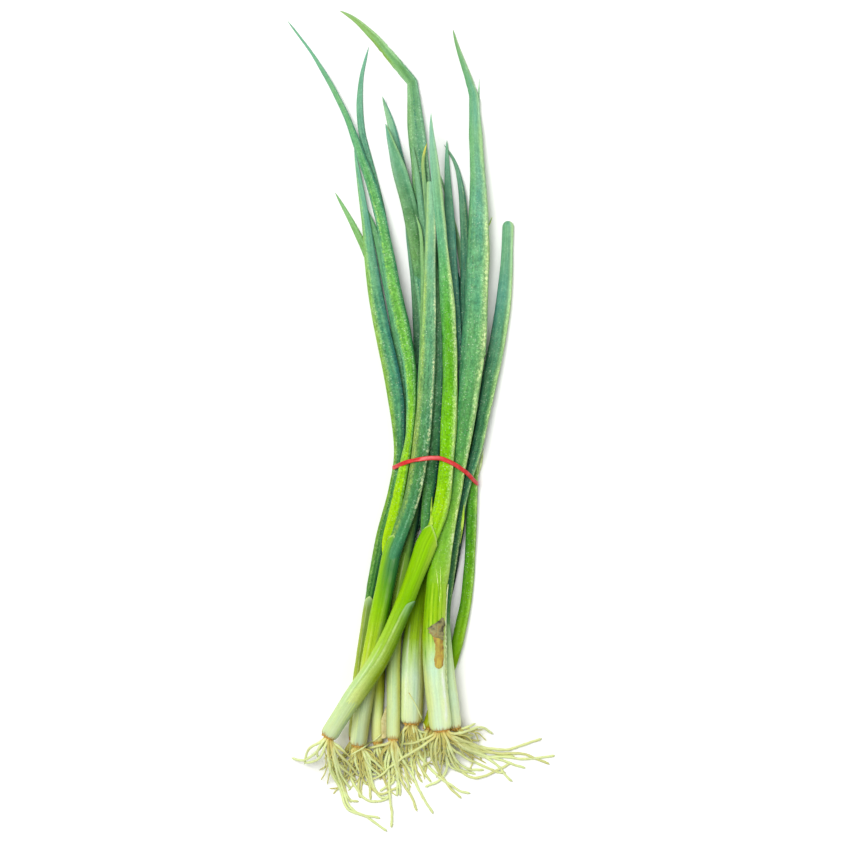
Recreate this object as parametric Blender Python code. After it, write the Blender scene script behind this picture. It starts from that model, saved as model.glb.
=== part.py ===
"""A market bunch of green shallots, held by one rubber band and lying on a table.

Metres, +Z up. The roots lie towards -Y and the leaf tips towards +Y. Each shallot is a white stem with
its leaves at one end and its basal plate and roots at the other. The pile is built from the table up:
every stem, leaf and root is given the way it runs in plan, and its height comes from what it lies on.
"""

import math

import bmesh
import bpy
import numpy as np

MM = 0.001

# All the sizes below are in millimetres.
CLEARANCE = 0.4  # air between neighbours in the pile
JOINT_GAP = 0.35  # air between a stem and its own leaf, roots or loose skin
STEM_ROUNDNESS = 0.92  # height over width of a stem
LEAF_ROUNDNESS = 0.46  # of a hollow leaf, pressed flat in the bunch
ROUND_TO_FLAT = 34.0  # length over which a stem goes flat above its collar
LEAF_SAG = 1.3e-3  # how fast a stem or leaf may droop off what holds it up, in 1/mm
ROOT_SAG = 2.2e-2  # the same for a root
LEAF_STATION = 21.0  # longest run of a leaf or stem between two of its rings
ROOT_STATION = 9.5  # the same for a root
ROOT_STEP = 0.8  # spacing of the places at which a root's way is worked out
ROOT_RADIUS = 0.95
ROOT_TIP_RADIUS = 0.5
ROOT_GRIP = 7.0  # length over which a root leaves the height of its basal plate
ROOT_FAN = 16.0  # length over which the roots of one shallot are still grown together
PLATE_LENGTH = 3.2  # of the basal plate that the roots grow from
BAND_WIDTH = 2.7
BAND_THICKNESS = 1.2
BAND_LOW, BAND_HIGH = -37.5, -22.0  # how far along the bunch the band's right end and its crest are

# Each run in plan is a row of (across, along, full width). A run with a collar is a stem as far as the
# collar, and its main leaf from there on; a run with none is one of the shallot's other leaves.
RUNS = {
    "9a": [(5.5, -184, 7), (8, -172, 8), (12.5, -160, 7), (18, -146, 7), (22, -131.5, 7.5),
           (26.5, -111.5, 6.5), (28.5, -95.5, 6.5), (30, -71.5, 6.5), (30, -54.5, 7), (31, -40, 6),
           (32, -26.5, 5.5), (31, -2.5, 6.5), (29.5, 30.5, 7), (27.5, 60.5, 6), (26, 84, 4),
           (22.5, 108, 2.5), (17, 129.5, 2), (11.5, 147.5, 1)],
    "8b": [(15.5, -110, 4), (20, -88, 4.5), (24, -62, 4.5), (26, -40, 4), (26.5, -20, 4),
           (26, 4, 5), (24.5, 30, 5.5), (23.5, 57.5, 5.5), (24, 74.5, 5), (22, 86.5, 3),
           (18.5, 95.5, 1)],
    "3b": [(-26.5, -82, 3.5), (-22.5, -63, 4), (-17.5, -43, 4), (-14, -24, 4), (-14, -6.5, 5.5),
           (-16.5, 18.5, 6), (-20.5, 42.5, 5.5), (-25, 72.5, 5.5), (-30.5, 95.5, 5), (-36.5, 109, 4),
           (-44, 124, 3), (-51.5, 137, 1)],
    "3c": [(-25, -84, 3), (-20.5, -66, 3.5), (-14.5, -44, 4), (-11, -22, 4), (-10, -2, 5),
           (-11.5, 24.5, 5), (-15, 50.5, 5), (-19, 74.5, 4.5), (-23, 93.5, 4.5), (-25, 107, 5),
           (-31, 121, 3.5), (-35.5, 133, 1)],
    "4a": [(-26, -192.5, 8.5), (-26.5, -178, 7), (-25.5, -162.5, 7), (-25, -144.5, 7),
           (-24, -125, 6.5), (-22, -105, 6.5), (-18.5, -85, 6.5), (-14, -65, 6), (-10, -45, 5),
           (-7.5, -24.5, 4.5), (-7.5, 0, 5), (-10, 27.5, 5.5), (-13, 54.5, 5.5), (-16, 81.5, 5.5),
           (-20, 105.5, 5), (-24.5, 129.5, 5), (-30, 150.5, 5), (-36, 174.5, 4), (-37, 195.5, 4),
           (-35.5, 209.5, 2), (-31.5, 224, 1)],
    "5b": [(-4.5, -68, 4), (-0.5, -48, 4.5), (1.5, -26, 5), (3, 0, 6), (4, 22, 7.5),
           (3.5, 45, 8), (2, 69.5, 8.5), (-1, 95.5, 9), (-5, 119.5, 9.5), (-8.5, 135.5, 9.5),
           (-14, 153.5, 8.5), (-19, 170, 3.5), (-21.5, 179, 1)],
    "6a": [(-6.5, -180.5, 12.5), (-5.5, -171, 14), (-5, -156.5, 14), (-5, -140.5, 13),
           (-4, -124, 11.5), (-2, -107.5, 11), (1, -89.5, 10), (6.5, -65.5, 8.5), (11.5, -41.5, 7.5),
           (13.5, -20.5, 7), (14, 9.5, 7.5), (11.5, 42.5, 8.5), (7.5, 78.5, 9), (4, 111.5, 10),
           (1, 135.5, 11.5), (-1, 159.5, 11), (-3.5, 180.5, 9.5), (-4.5, 195.5, 7),
           (-5.5, 204.5, 6.5), (-10, 212, 6.5), (-18.5, 221, 6), (-29.5, 231.5, 5), (-39, 241, 3),
           (-49.5, 246.5, 1)],
    "5c": [(-5.5, -71, 3.5), (1.5, -50, 4), (6.5, -28, 4), (8, -8, 4), (8.5, 18.5, 5),
           (7, 54.5, 5), (5, 84.5, 5), (1.5, 114.5, 4), (-1, 138.5, 4), (-3.5, 153.5, 2.5),
           (-5, 165, 1)],
    "6b": [(4.5, -80, 4.5), (11, -62, 5), (17, -42, 5.5), (20.5, -22, 5.5), (22, 0.5, 6),
           (24, 30.5, 6.5), (26, 60.5, 6.5), (27, 87.5, 6), (26.5, 108.5, 5.5), (25.5, 125.5, 5),
           (24, 141.5, 3.5), (20.5, 155.5, 2), (14, 165.5, 1)],
    "5a": [(-17, -190, 7), (-16.5, -177, 8), (-16.5, -159, 8), (-16.5, -140.5, 8), (-15, -122, 7.5),
           (-13, -103, 7), (-10.5, -88.5, 6.5), (-7, -73, 6.5), (-4, -56.5, 6.5), (-2.5, -40, 6),
           (-1.5, -23.5, 5.5), (0.5, -2.5, 6), (2.5, 24.5, 6), (2.5, 54.5, 6), (0, 81.5, 6.5),
           (-5, 108.5, 6.5), (-9, 135.5, 6.5), (-13.5, 158, 6.5), (-17.5, 177, 5), (-20.5, 187, 2.5),
           (-23.5, 195.5, 1)],
    "4b": [(-11.5, -64, 3.5), (-7, -46, 4), (-3.5, -26, 4), (-2.5, -6, 4), (-2, 14, 4),
           (-2, 34, 4.5), (-2.5, 54, 4.5), (-3.5, 74.5, 4.5), (-4.5, 90.5, 4.5),
           (-7.5, 113.5, 3.5), (-9.5, 121, 1)],
    "3a": [(-40, -190, 6), (-39.5, -176.5, 6.5), (-38, -161.5, 6.5), (-36.5, -144.5, 6),
           (-34, -125.5, 5.5), (-32, -111, 5.5), (-29.5, -98, 5.5), (-26.5, -82, 6),
           (-23.5, -66.5, 6), (-19, -51, 5.5), (-15.5, -35.5, 5.5), (-13, -20.5, 5.5), (-13, -6.5, 8),
           (-14.5, 11.5, 9.5), (-18.5, 34, 10), (-22.5, 51.5, 9.5), (-27, 74.5, 9), (-31, 101.5, 7),
           (-33, 119.5, 5), (-35.5, 134.5, 4), (-38, 153.5, 2.5), (-40, 164, 1)],
    "8a": [(20, -183.5, 8), (19.5, -176, 8.5), (17.5, -162.5, 8.5), (15.5, -146.5, 8),
           (14, -125.5, 7), (14.5, -108.5, 6.5), (17, -93.5, 6), (20.5, -70, 6), (24, -49, 6),
           (27.5, -35.5, 5.5), (32, -23.5, 6.5), (36, -4, 7), (39, 14, 9), (44, 38, 9.5),
           (48.5, 62, 9.5), (51, 87.5, 8), (52, 108.5, 6.5), (52, 119, 3)],
    "7b": [(13.5, -88, 4.5), (18, -65, 5), (22, -43, 5), (23.5, -20, 5), (23, 12.5, 5.5),
           (22, 42.5, 6), (20, 72.5, 6), (18.5, 99.5, 6), (17, 123.5, 5.5), (16, 144.5, 4.5),
           (15.5, 156.5, 2.5), (15.5, 169, 1)],
    "2c": [(-16.5, -74, 3.5), (-11, -56.5, 4), (-6, -35.5, 4), (-3, -14.5, 4.5), (-0.5, 12.5, 4.5),
           (1, 42.5, 4), (1.5, 72.5, 3.5), (1, 93.5, 2.5), (0, 113.5, 2), (-3, 122.5, 1)],
    "1b": [(2, -69.5, 5.5), (3, -54.5, 6), (5.5, -36.5, 8.5), (7.5, -17.5, 8), (9.5, 3.5, 7),
           (10.5, 27.5, 6.5), (11, 51.5, 6), (9.5, 78.5, 5.5), (6.5, 108.5, 4.5), (3.5, 129.5, 3.5),
           (2, 144.5, 2.5), (1, 156.5, 2), (3.5, 166, 1)],
    "7a": [(12, -184, 12), (11.5, -176, 14), (9, -162.5, 13), (8, -140.5, 14), (8, -118, 13.5),
           (9.5, -98.5, 13), (12, -82, 12.5), (14.5, -67, 11), (18, -51.5, 9.5), (21, -35.5, 8.5),
           (23.5, -21.5, 8.5), (26, -6.5, 10.5), (28, 12.5, 12), (30.5, 33.5, 14),
           (32.5, 57.5, 14.5), (33.5, 81.5, 14), (34.5, 113.5, 12.5), (34, 146, 9.5),
           (32.5, 174.5, 7.5), (31.5, 195.5, 5.5), (27.5, 209, 4), (22.5, 221.5, 2.5),
           (19, 235.5, 1)],
    "2b": [(-21, -74.5, 5.5), (-18, -63.5, 6.5), (-14, -49, 8), (-11.5, -35, 7), (-9.5, -23.5, 4.5),
           (-7, -11.5, 4.5), (-5.5, 8, 5.5), (-6.5, 32, 8), (-10, 50.5, 9), (-15.5, 74.5, 9),
           (-20.5, 102.5, 8), (-24.5, 124, 6.5), (-31, 146, 6), (-38, 164.5, 5), (-45, 184, 3.5),
           (-53.5, 201, 3), (-68.5, 225.5, 1.5), (-80, 240, 1)],
    "2a": [(-37, -194, 9.5), (-36, -180.5, 10.5), (-34, -167.5, 10.5), (-31, -148, 11),
           (-27.5, -129.5, 11), (-24.5, -113.5, 11), (-21, -97, 11), (-18, -82, 11),
           (-14.5, -71.5, 10), (-9, -58, 9.5), (-5.5, -47.5, 9.5), (-2.5, -34, 10),
           (-0.5, -20.5, 10), (1.5, -2.5, 10), (3.5, 24.5, 9.5), (4.5, 51.5, 9), (5, 75.5, 8),
           (5.5, 102.5, 6.5), (6, 123.5, 5.5), (6, 142, 2.5)],
    "1a": [(-53.5, -188.5, 8.5), (-50.5, -181, 10), (-45.5, -172, 11), (-39, -162.5, 11.5),
           (-31.5, -152.5, 11.5), (-24, -140.5, 11.5), (-17.5, -127, 11), (-12, -114, 10.5),
           (-6.5, -100, 10.5), (-1.5, -86.5, 10.5), (3.5, -74, 11), (8, -65, 9), (11.5, -54.5, 9),
           (14, -39.5, 9.5), (15.5, -22, 9), (16.5, -2.5, 9.5), (17.5, 24.5, 9), (17, 51.5, 9),
           (15.5, 74.5, 8.5), (13.5, 98.5, 6.5), (11.5, 120.5, 6), (9.5, 140, 6), (7.5, 158, 5),
           (6, 174.5, 2.5), (6, 184.5, 1)],
}

# How far along the bunch each stem's collar is, where its leaves part.
COLLARS = {"9a": -131.5, "4a": -66, "6a": -83.5, "5a": -74, "3a": -111, "8a": -114.5,
           "7a": -92.5, "2a": -75, "1a": -71.5}

# The roots of each shallot: heading in plan, from -Y towards +X; how far it turns; and its length.
ROOTS = {
    "1": [(-62, -12, 26), (-42, 16, 24), (-24, 26, 38), (-8, 88, 66), (10, 14, 44), (28, 8, 30)],
    "2": [(-28, 96, 42), (-6, 18, 38), (14, 22, 38), (34, 6, 28)],
    "3": [(-38, 20, 20), (-18, 8, 27), (2, -16, 28)],
    "4": [(-14, 4, 24), (8, 12, 27), (28, 14, 20)],
    "5": [(-20, 12, 34), (-4, 6, 55), (9, 24, 48), (28, -10, 52)],
    "6": [(-20, 8, 34), (-8, -6, 38), (4, 8, 37), (16, 4, 34), (30, 12, 30)],
    "7": [(90, 36, 16), (98, -26, 34), (64, 38, 63), (69, 10, 71), (60, 14, 68), (51, 16, 56),
          (43, 14, 50), (33, 8, 42), (21, 8, 42), (8, 10, 43), (-50, -20, 54)],
    "8": [(84, -10, 40), (72, 8, 28), (58, 10, 36)],
    "9": [(0, 8, 34), (18, 12, 32)],
}

# The pile, from the table up.
PILE = ["9a", "8b", "3b", "4a", "4b", "5b", "6b", "6a", "5c", "3c", "5a", "3a", "8a", "7b", "2c",
        "1b", "7a", "2b", "2a", "1a"]


def smooth_run(points, step):
    """Evenly spaced rows on the smooth curve through a run's points, and the distance along it."""
    guide = np.array(points, float)
    guide = np.vstack([2 * guide[0] - guide[1], guide, 2 * guide[-1] - guide[-2]])
    rows = []
    for a, b, c, d in zip(guide[:-3], guide[1:-2], guide[2:-1], guide[3:]):
        t = np.linspace(0, 1, 24, endpoint=False)[:, None]
        rows.append((2 * b + (c - a) * t + (2 * a - 5 * b + 4 * c - d) * t**2
                     + (3 * b - a - 3 * c + d) * t**3) / 2)
    fine = np.vstack(rows + [guide[-2:-1]])
    along = np.concatenate([[0], np.cumsum(np.hypot(*np.diff(fine[:, :2], axis=0).T))])
    even = np.linspace(0, along[-1], round(along[-1] / step) + 1)
    return np.column_stack([np.interp(even, along, column) for column in fine.T]), even


def band_line(across):
    """How far along the bunch the rubber band crosses, which is higher up in the middle."""
    return np.interp(across, [-17, -12, -8, 3, 12, 20, 28, 34],
                     [-28, -25.5, -24, BAND_HIGH, BAND_HIGH, -25.5, -31, BAND_LOW])


def table_height(place):
    """What a run rests on where nothing else is under it: the table, or the band where that passes."""
    near = np.abs(place[:, 1] - band_line(place[:, 0])) < BAND_WIDTH / 2 + 6
    return np.where(near, BAND_THICKNESS + 2 * JOINT_GAP, 0.0)


def lay(run, distance, pile, sag, start=None):
    """The heights of a run laid on the table and on the runs already in the pile.

    Where two runs pass, the upper one is lifted by as much as two ellipses need at that spacing. From
    each place that holds it up, the run may droop by sag times the distance squared.
    """
    half, high = run[:, 2] / 2, run[:, 3]
    need = table_height(run) + high
    for other in pile:
        spacing = np.hypot(*(run[:, None, :2] - other[None, :, :2]).transpose(2, 0, 1))
        reach = half[:, None] + other[None, :, 2] / 2 + CLEARANCE
        lift = np.sqrt(np.clip(1 - (spacing / reach) ** 2, 0, None))
        lift *= high[:, None] + other[None, :, 3] + CLEARANCE
        held = np.where(spacing < reach, other[None, :, 4] + lift, 0)
        need = np.maximum(need, held.max(axis=1))
    if start is not None:
        need[0] = max(need[0], start)
    droop = sag * (distance[:, None] - distance[None, :]) ** 2
    height = (need[None, :] - droop).max(axis=1)
    return np.maximum(height, need)


def eased(height, reach):
    """Heights with their sharp valleys rounded, and no place lower than it was."""
    padded = np.pad(height, reach, mode="edge")
    windows = np.lib.stride_tricks.sliding_window_view(padded, 2 * reach + 1)
    high = np.pad(windows.max(axis=1), reach, mode="edge")
    weight = np.hanning(2 * reach + 3)[1:-1]
    return np.lib.stride_tricks.sliding_window_view(high, 2 * reach + 1) @ (weight / weight.sum())


def placed(run, height):
    """A run's rows once laid: across, along, width, half height, height, and the way it points."""
    ahead = np.gradient(np.column_stack([run[:, :2], height]), axis=0)
    return np.column_stack([run, height, ahead / np.linalg.norm(ahead, axis=1)[:, None]])


def row_at(rows, distance, place):
    """The row of a run at one distance along it."""
    return np.array([[np.interp(place, distance, column) for column in rows.T]])


def sparse(rows, longest, most_turn):
    """The rows that carry a tube's rings: none further apart than longest, or turned by more."""
    length = np.linalg.norm(np.diff(rows[:, [0, 1, 4]], axis=0), axis=1)
    ahead = rows[:, 5:]
    kept, gone = [0], 0.0
    for i in range(1, len(rows) - 1):
        gone += length[i - 1]
        turn = math.degrees(math.acos(min(1, ahead[i] @ ahead[kept[-1]])))
        if gone >= longest or turn >= most_turn:
            kept.append(i)
            gone = 0.0
    if kept[-1] != 0 and length[kept[-1]:].sum() < longest / 4:
        kept.pop()
    return rows[kept + [len(rows) - 1]]


def frames(rows):
    """Each ring's centre, and the directions ahead of it, across it and up it."""
    ahead = rows[:, 5:] / np.linalg.norm(rows[:, 5:], axis=1)[:, None]
    across = np.column_stack([ahead[:, 1], -ahead[:, 0], np.zeros(len(rows))])
    across /= np.linalg.norm(across, axis=1)[:, None]
    return rows[:, [0, 1, 4]], ahead, across, np.cross(across, ahead)


def tube(mesh, rows, sides, blunt=(0.0, 0.0)):
    """Adds to the mesh a closed tube of flattened rings, its ends domed by the blunt lengths."""
    centre, ahead, across, up = frames(rows)
    rings = []
    for i, row in enumerate(rows):
        ring = []
        for k in range(sides):
            angle = 2 * math.pi * k / sides
            offset = across[i] * math.cos(angle) * row[2] / 2 + up[i] * math.sin(angle) * row[3]
            ring.append(mesh.verts.new((centre[i] + offset) * MM))
        rings.append(ring)
    first = mesh.verts.new((centre[0] - ahead[0] * blunt[0]) * MM)
    last = mesh.verts.new((centre[-1] + ahead[-1] * blunt[1]) * MM)
    for lower, upper in zip(rings, rings[1:]):
        for k in range(sides):
            j = (k + 1) % sides
            mesh.faces.new((lower[k], lower[j], upper[j], upper[k]))
    for k in range(sides):
        j = (k + 1) % sides
        mesh.faces.new((first, rings[0][j], rings[0][k]))
        mesh.faces.new((last, rings[-1][k], rings[-1][j]))


def loose_skin(mesh, rows, turn_from, turn_to, thickness, ragged):
    """Adds a closed patch of skin that lies on a stem, from one turn round it to another (degrees)."""
    centre, _, across, up = frames(rows)
    columns = 5
    sheets = []
    for proud in (JOINT_GAP, JOINT_GAP + thickness):
        sheet = []
        for i, row in enumerate(rows):
            trim = ragged[i] * (turn_to - turn_from) / 2
            line = []
            for k in range(columns):
                share = k / (columns - 1)
                angle = math.radians(turn_from + trim + share * (turn_to - turn_from - 2 * trim))
                line.append(mesh.verts.new(
                    (centre[i] + across[i] * math.cos(angle) * (row[2] / 2 + proud)
                     + up[i] * math.sin(angle) * (row[3] + proud)) * MM))
            sheet.append(line)
        sheets.append(sheet)
    inner, outer = sheets
    last, edge = len(rows) - 1, columns - 1
    for i in range(last):
        for k in range(edge):
            mesh.faces.new((outer[i][k], outer[i + 1][k], outer[i + 1][k + 1], outer[i][k + 1]))
            mesh.faces.new((inner[i][k], inner[i][k + 1], inner[i + 1][k + 1], inner[i + 1][k]))
        mesh.faces.new((inner[i][0], inner[i + 1][0], outer[i + 1][0], outer[i][0]))
        mesh.faces.new((inner[i][edge], outer[i][edge], outer[i + 1][edge], inner[i + 1][edge]))
    for k in range(edge):
        mesh.faces.new((inner[0][k], outer[0][k], outer[0][k + 1], inner[0][k + 1]))
        mesh.faces.new((inner[last][k], inner[last][k + 1], outer[last][k + 1], outer[last][k]))


def material(name, colour, roughness):
    made = bpy.data.materials.new(name)
    made.use_nodes = True
    shader = made.node_tree.nodes["Principled BSDF"]
    shader.inputs["Base Color"].default_value = (*colour, 1)
    shader.inputs["Roughness"].default_value = roughness
    shader.inputs["Metallic"].default_value = 0
    made.diffuse_color = (*colour, 1)
    return made


def piece(name, mesh, finish):
    """Puts a finished mesh in the scene as one named, smooth-shaded piece."""
    bmesh.ops.recalc_face_normals(mesh, faces=mesh.faces)
    data = bpy.data.meshes.new(name)
    mesh.to_mesh(data)
    mesh.free()
    data.materials.append(finish)
    data.shade_smooth()
    made = bpy.data.objects.new(name, data)
    bpy.context.scene.collection.objects.link(made)
    return made


def with_height(points, collar, step):
    """A run's rows with their half height: round up to the collar, then flattening to a leaf."""
    rows, distance = smooth_run(points, step)
    roundness = np.full(len(rows), LEAF_ROUNDNESS)
    if collar is not None:
        past = np.clip((distance - np.interp(collar, rows[:, 1], distance)) / ROUND_TO_FLAT + 0.5, 0, 1)
        past = past * past * (3 - 2 * past)
        roundness = STEM_ROUNDNESS + (LEAF_ROUNDNESS - STEM_ROUNDNESS) * past
    return np.column_stack([rows, rows[:, 2] / 2 * roundness]), distance


def root_path(base, backwards, heading, turn, length):
    """A root's rows in plan, from inside the basal plate outwards."""
    distance = np.arange(0, length, ROOT_STEP)
    share = distance / length
    angle = np.radians(heading + turn * share + 9 * np.sin(5 * share + heading))
    step = ROOT_STEP * np.column_stack([np.sin(angle), -np.cos(angle)])
    plan = base + backwards * PLATE_LENGTH * 0.5 + np.vstack([[0, 0], np.cumsum(step[:-1], axis=0)])
    radius = ROOT_RADIUS + (ROOT_TIP_RADIUS - ROOT_RADIUS) * share
    return np.column_stack([plan, 2 * radius, radius]), distance


def add_roots(shallot, stem, pile, finish):
    """The basal plate under a stem and the roots that grow from it, as one body."""
    backwards = -stem[0, 5:7] / np.linalg.norm(stem[0, 5:7])
    lengths = np.array([JOINT_GAP, PLATE_LENGTH * 0.5, PLATE_LENGTH])
    plate = np.repeat(stem[:1], 3, axis=0)
    plate[:, :2] += lengths[:, None] * backwards
    plate[:, 2:4] *= np.array([0.74, 0.7, 0.46])[:, None]
    mesh = bmesh.new()
    tube(mesh, plate[::-1], 10, blunt=(0.6, 0.0))
    made = piece(f"shallot_{shallot}_roots", mesh, finish)
    tufts = bmesh.new()
    grown = round(ROOT_FAN / ROOT_STEP)
    own = []
    for heading, turn, length in ROOTS[shallot]:
        rows, distance = root_path(stem[0, :2], backwards, heading, turn, length)
        clear = [other[grown:] for other in own if len(other) > grown]
        height = eased(lay(rows, distance, pile + clear, ROOT_SAG, start=stem[0, 4]), 2)
        free = np.clip(distance / ROOT_GRIP, 0, 1)
        rows = placed(rows, stem[0, 4] + (height - stem[0, 4]) * free)
        own.append(rows)
        tube(tufts, sparse(rows, ROOT_STATION, 16), 4, blunt=(0.3, 0.8))
    pile.append(plate)
    pile.extend(own)
    helper = piece(f"shallot_{shallot}_root_tubes", tufts, finish)
    helper.hide_render = True
    helper.display_type = "WIRE"
    join = made.modifiers.new("roots", "BOOLEAN")
    join.operation = "UNION"
    join.solver = "EXACT"
    join.use_self = True
    join.object = helper


def add_stem(shallot, leaf, rows, distance, finishes):
    """A stem up to its collar, then the main leaf that carries on from it."""
    collar = np.interp(COLLARS[shallot + leaf], rows[:, 1], distance)
    mesh = bmesh.new()
    stem = np.vstack([rows[distance < collar - 1], row_at(rows, distance, collar)])
    stem[0, 2:4] *= 0.8
    tube(mesh, sparse(stem, LEAF_STATION * 0.7, 9), 10, blunt=(0.0, 0.0))
    piece(f"shallot_{shallot}_stem", mesh, finishes["stem"])
    blade = np.vstack([row_at(rows, distance, collar + JOINT_GAP), rows[distance > collar + 2]])
    mesh = bmesh.new()
    tube(mesh, sparse(blade, LEAF_STATION, 9), 8, blunt=(0.0, 1.0))
    piece(f"shallot_{shallot}_leaf_{leaf}", mesh, finishes["leaf"])
    return stem


def add_band(pile, finish):
    """The rubber band, drawn round the outside of every stem and leaf that it passes."""
    outside = []
    for rows in pile:
        near = np.abs(rows[:, 1] - band_line(rows[:, 0])) < BAND_WIDTH / 2 + 1.5
        for angle in np.linspace(0, 2 * math.pi, 24, endpoint=False):
            outside.append(np.column_stack([rows[near, 0] + rows[near, 2] / 2 * math.cos(angle),
                                            rows[near, 4] + rows[near, 3] * math.sin(angle)]))
    outside = np.vstack(outside)
    count = 56
    turns = np.linspace(0, 2 * math.pi, count, endpoint=False)
    facing = np.column_stack([np.cos(turns), np.sin(turns)])
    reach = (outside @ facing.T).max(axis=0) + JOINT_GAP
    spread = np.array([np.roll(reach, shift) for shift in (-1, 0, 1)])
    reach = (spread.max(axis=0) + spread.mean(axis=0)) / 2
    slope = (np.roll(reach, -1) - np.roll(reach, 1)) / (turns[2] - turns[0])
    hug = facing * reach[:, None] + np.column_stack([-facing[:, 1], facing[:, 0]]) * slope[:, None]
    mesh = bmesh.new()
    rings = []
    for i in range(count):
        ring = []
        for proud, edge in ((0, -1), (0, 1), (1, 0.8), (1, -0.8)):
            place = hug[i] + facing[i] * proud * BAND_THICKNESS
            along = band_line(hug[i, 0]) + edge * BAND_WIDTH / 2
            height = max(place[1], (1 - proud) * BAND_THICKNESS)
            ring.append(mesh.verts.new((place[0] * MM, along * MM, height * MM)))
        rings.append(ring)
    for i in range(count):
        here, there = rings[i], rings[(i + 1) % count]
        for k in range(4):
            j = (k + 1) % 4
            mesh.faces.new((here[k], here[j], there[j], there[k]))
    piece("rubber_band", mesh, finish)


def stretch(rows, start, end, count):
    """Evenly spaced rows of a run between two places along the bunch."""
    places = np.linspace(start, end, count)
    return np.column_stack([np.interp(places, rows[:, 1], column) for column in rows.T])


def main():
    for old in list(bpy.data.objects):
        bpy.data.objects.remove(old)
    finishes = {
        "stem": material("white_stem", (0.62, 0.74, 0.36), 0.42),
        "leaf": material("green_leaf", (0.14, 0.38, 0.11), 0.5),
        "root": material("root", (0.74, 0.68, 0.36), 0.7),
        "skin": material("dry_skin", (0.42, 0.31, 0.11), 0.75),
        "sheath": material("pale_sheath", (0.45, 0.6, 0.22), 0.45),
        "band": material("red_rubber", (0.62, 0.03, 0.05), 0.45),
    }
    pile, bundle, laid = [], [], {}
    for name in PILE:
        shallot, leaf = name
        rows, distance = with_height(RUNS[name], COLLARS.get(name), 2.0)
        rows = placed(rows, eased(lay(rows, distance, pile, LEAF_SAG), 3))
        laid[name] = rows
        pile.append(rows)
        bundle.append(rows)
        if name in COLLARS:
            stem = add_stem(shallot, leaf, rows, distance, finishes)
            add_roots(shallot, stem, pile, finishes["root"])
        else:
            mesh = bmesh.new()
            tube(mesh, sparse(rows, LEAF_STATION, 9), 8, blunt=(0.6, 1.0))
            piece(f"shallot_{shallot}_leaf_{leaf}", mesh, finishes["leaf"])
    add_band(bundle, finishes["band"])

    # What is left of old outer leaves: a sheath on the front shallot and a brown scrap on another.
    mesh = bmesh.new()
    loose_skin(mesh, stretch(laid["1a"], -158, -113, 8), -6, 66, 0.6,
               [0.5, 0.2, 0.0, 0.0, 0.05, 0.1, 0.3, 0.6])
    piece("shallot_1_torn_sheath", mesh, finishes["sheath"])
    mesh = bmesh.new()
    loose_skin(mesh, stretch(laid["7a"], -149, -118, 7), 55, 112, 0.5,
               [0.6, 0.2, 0.1, 0.2, 0.25, 0.0, 0.2])
    piece("shallot_7_dry_skin", mesh, finishes["skin"])

    # The origin goes to the middle of the bunch, on the table.
    graph = bpy.context.evaluated_depsgraph_get()
    shown = [made.evaluated_get(graph) for made in bpy.data.objects if not made.hide_render]
    corners = np.array([tuple(vertex.co) for made in shown for vertex in made.data.vertices])
    low, high = corners.min(axis=0), corners.max(axis=0)
    for made in bpy.data.objects:
        made.location = (-(low[0] + high[0]) / 2, -(low[1] + high[1]) / 2, -low[2])


main()
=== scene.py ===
"""A market bunch of green shallots, held by one rubber band and lying on a pale table.

The solids say where each stem, leaf and tuft of roots lies. Here each one gets the skin of the real
plant in the same place. Metres, +Z up, the roots towards -Y and the leaf tips towards +Y.
"""

import math

import bpy
import numpy as np
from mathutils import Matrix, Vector


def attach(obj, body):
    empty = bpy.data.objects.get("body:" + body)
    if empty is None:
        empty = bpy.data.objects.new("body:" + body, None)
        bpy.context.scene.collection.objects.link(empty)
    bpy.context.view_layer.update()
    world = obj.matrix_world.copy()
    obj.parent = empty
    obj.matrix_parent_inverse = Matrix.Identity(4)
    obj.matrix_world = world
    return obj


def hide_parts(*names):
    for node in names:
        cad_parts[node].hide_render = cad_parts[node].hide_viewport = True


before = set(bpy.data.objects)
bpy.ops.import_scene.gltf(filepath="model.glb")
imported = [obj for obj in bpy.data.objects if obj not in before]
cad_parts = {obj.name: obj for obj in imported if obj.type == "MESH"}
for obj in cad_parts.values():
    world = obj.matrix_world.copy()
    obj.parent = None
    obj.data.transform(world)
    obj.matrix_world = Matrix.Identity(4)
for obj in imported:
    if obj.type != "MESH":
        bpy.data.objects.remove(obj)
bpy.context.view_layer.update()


# ---- White stems ---------------------------------------------------------------------------------
# Each stem is the bases of its leaves wrapped inside one another, crisp and wet: white where it stood in
# the soil and green above. The outermost sheath ends at the collar, where the leaves come out of its
# mouth, and at the root end its skin rounds in to a ragged brown edge.

MM = 0.001
FULL_TURN = 2 * math.pi
ROW_STEP = 2 * MM  # the places along a stem or leaf at which its solid is measured
# The columns of a run: the distance gone, its middle, the ways across and up, half width and half height.
GONE, MIDDLE, ACROSS, UP, WIDE, HIGH = 0, slice(1, 4), slice(4, 7), slice(7, 10), 10, 11


def unit(vectors):
    return vectors / np.linalg.norm(vectors, axis=-1, keepdims=True)


def sideways(ahead):
    """The directions across a run, level with the table, and up from it."""
    across = unit(np.stack([ahead[..., 1], -ahead[..., 0], 0 * ahead[..., 0]], axis=-1))
    return across, np.cross(across, ahead)


def smooth(share):
    share = np.clip(share, 0, 1)
    return share * share * (3 - 2 * share)


def walked(points):
    """The distance gone at each point of a line."""
    return np.concatenate([[0], np.cumsum(np.linalg.norm(np.diff(points, axis=0), axis=1))])


def evenly(rows, step):
    """Rows at even distances, up to the last one. A row is a middle and what goes with it."""
    gone = walked(rows[:, :3])
    places = np.linspace(0, gone[-1], max(4, round(gone[-1] / step) + 1))
    return np.column_stack([np.interp(places, gone, column) for column in rows.T])


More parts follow.
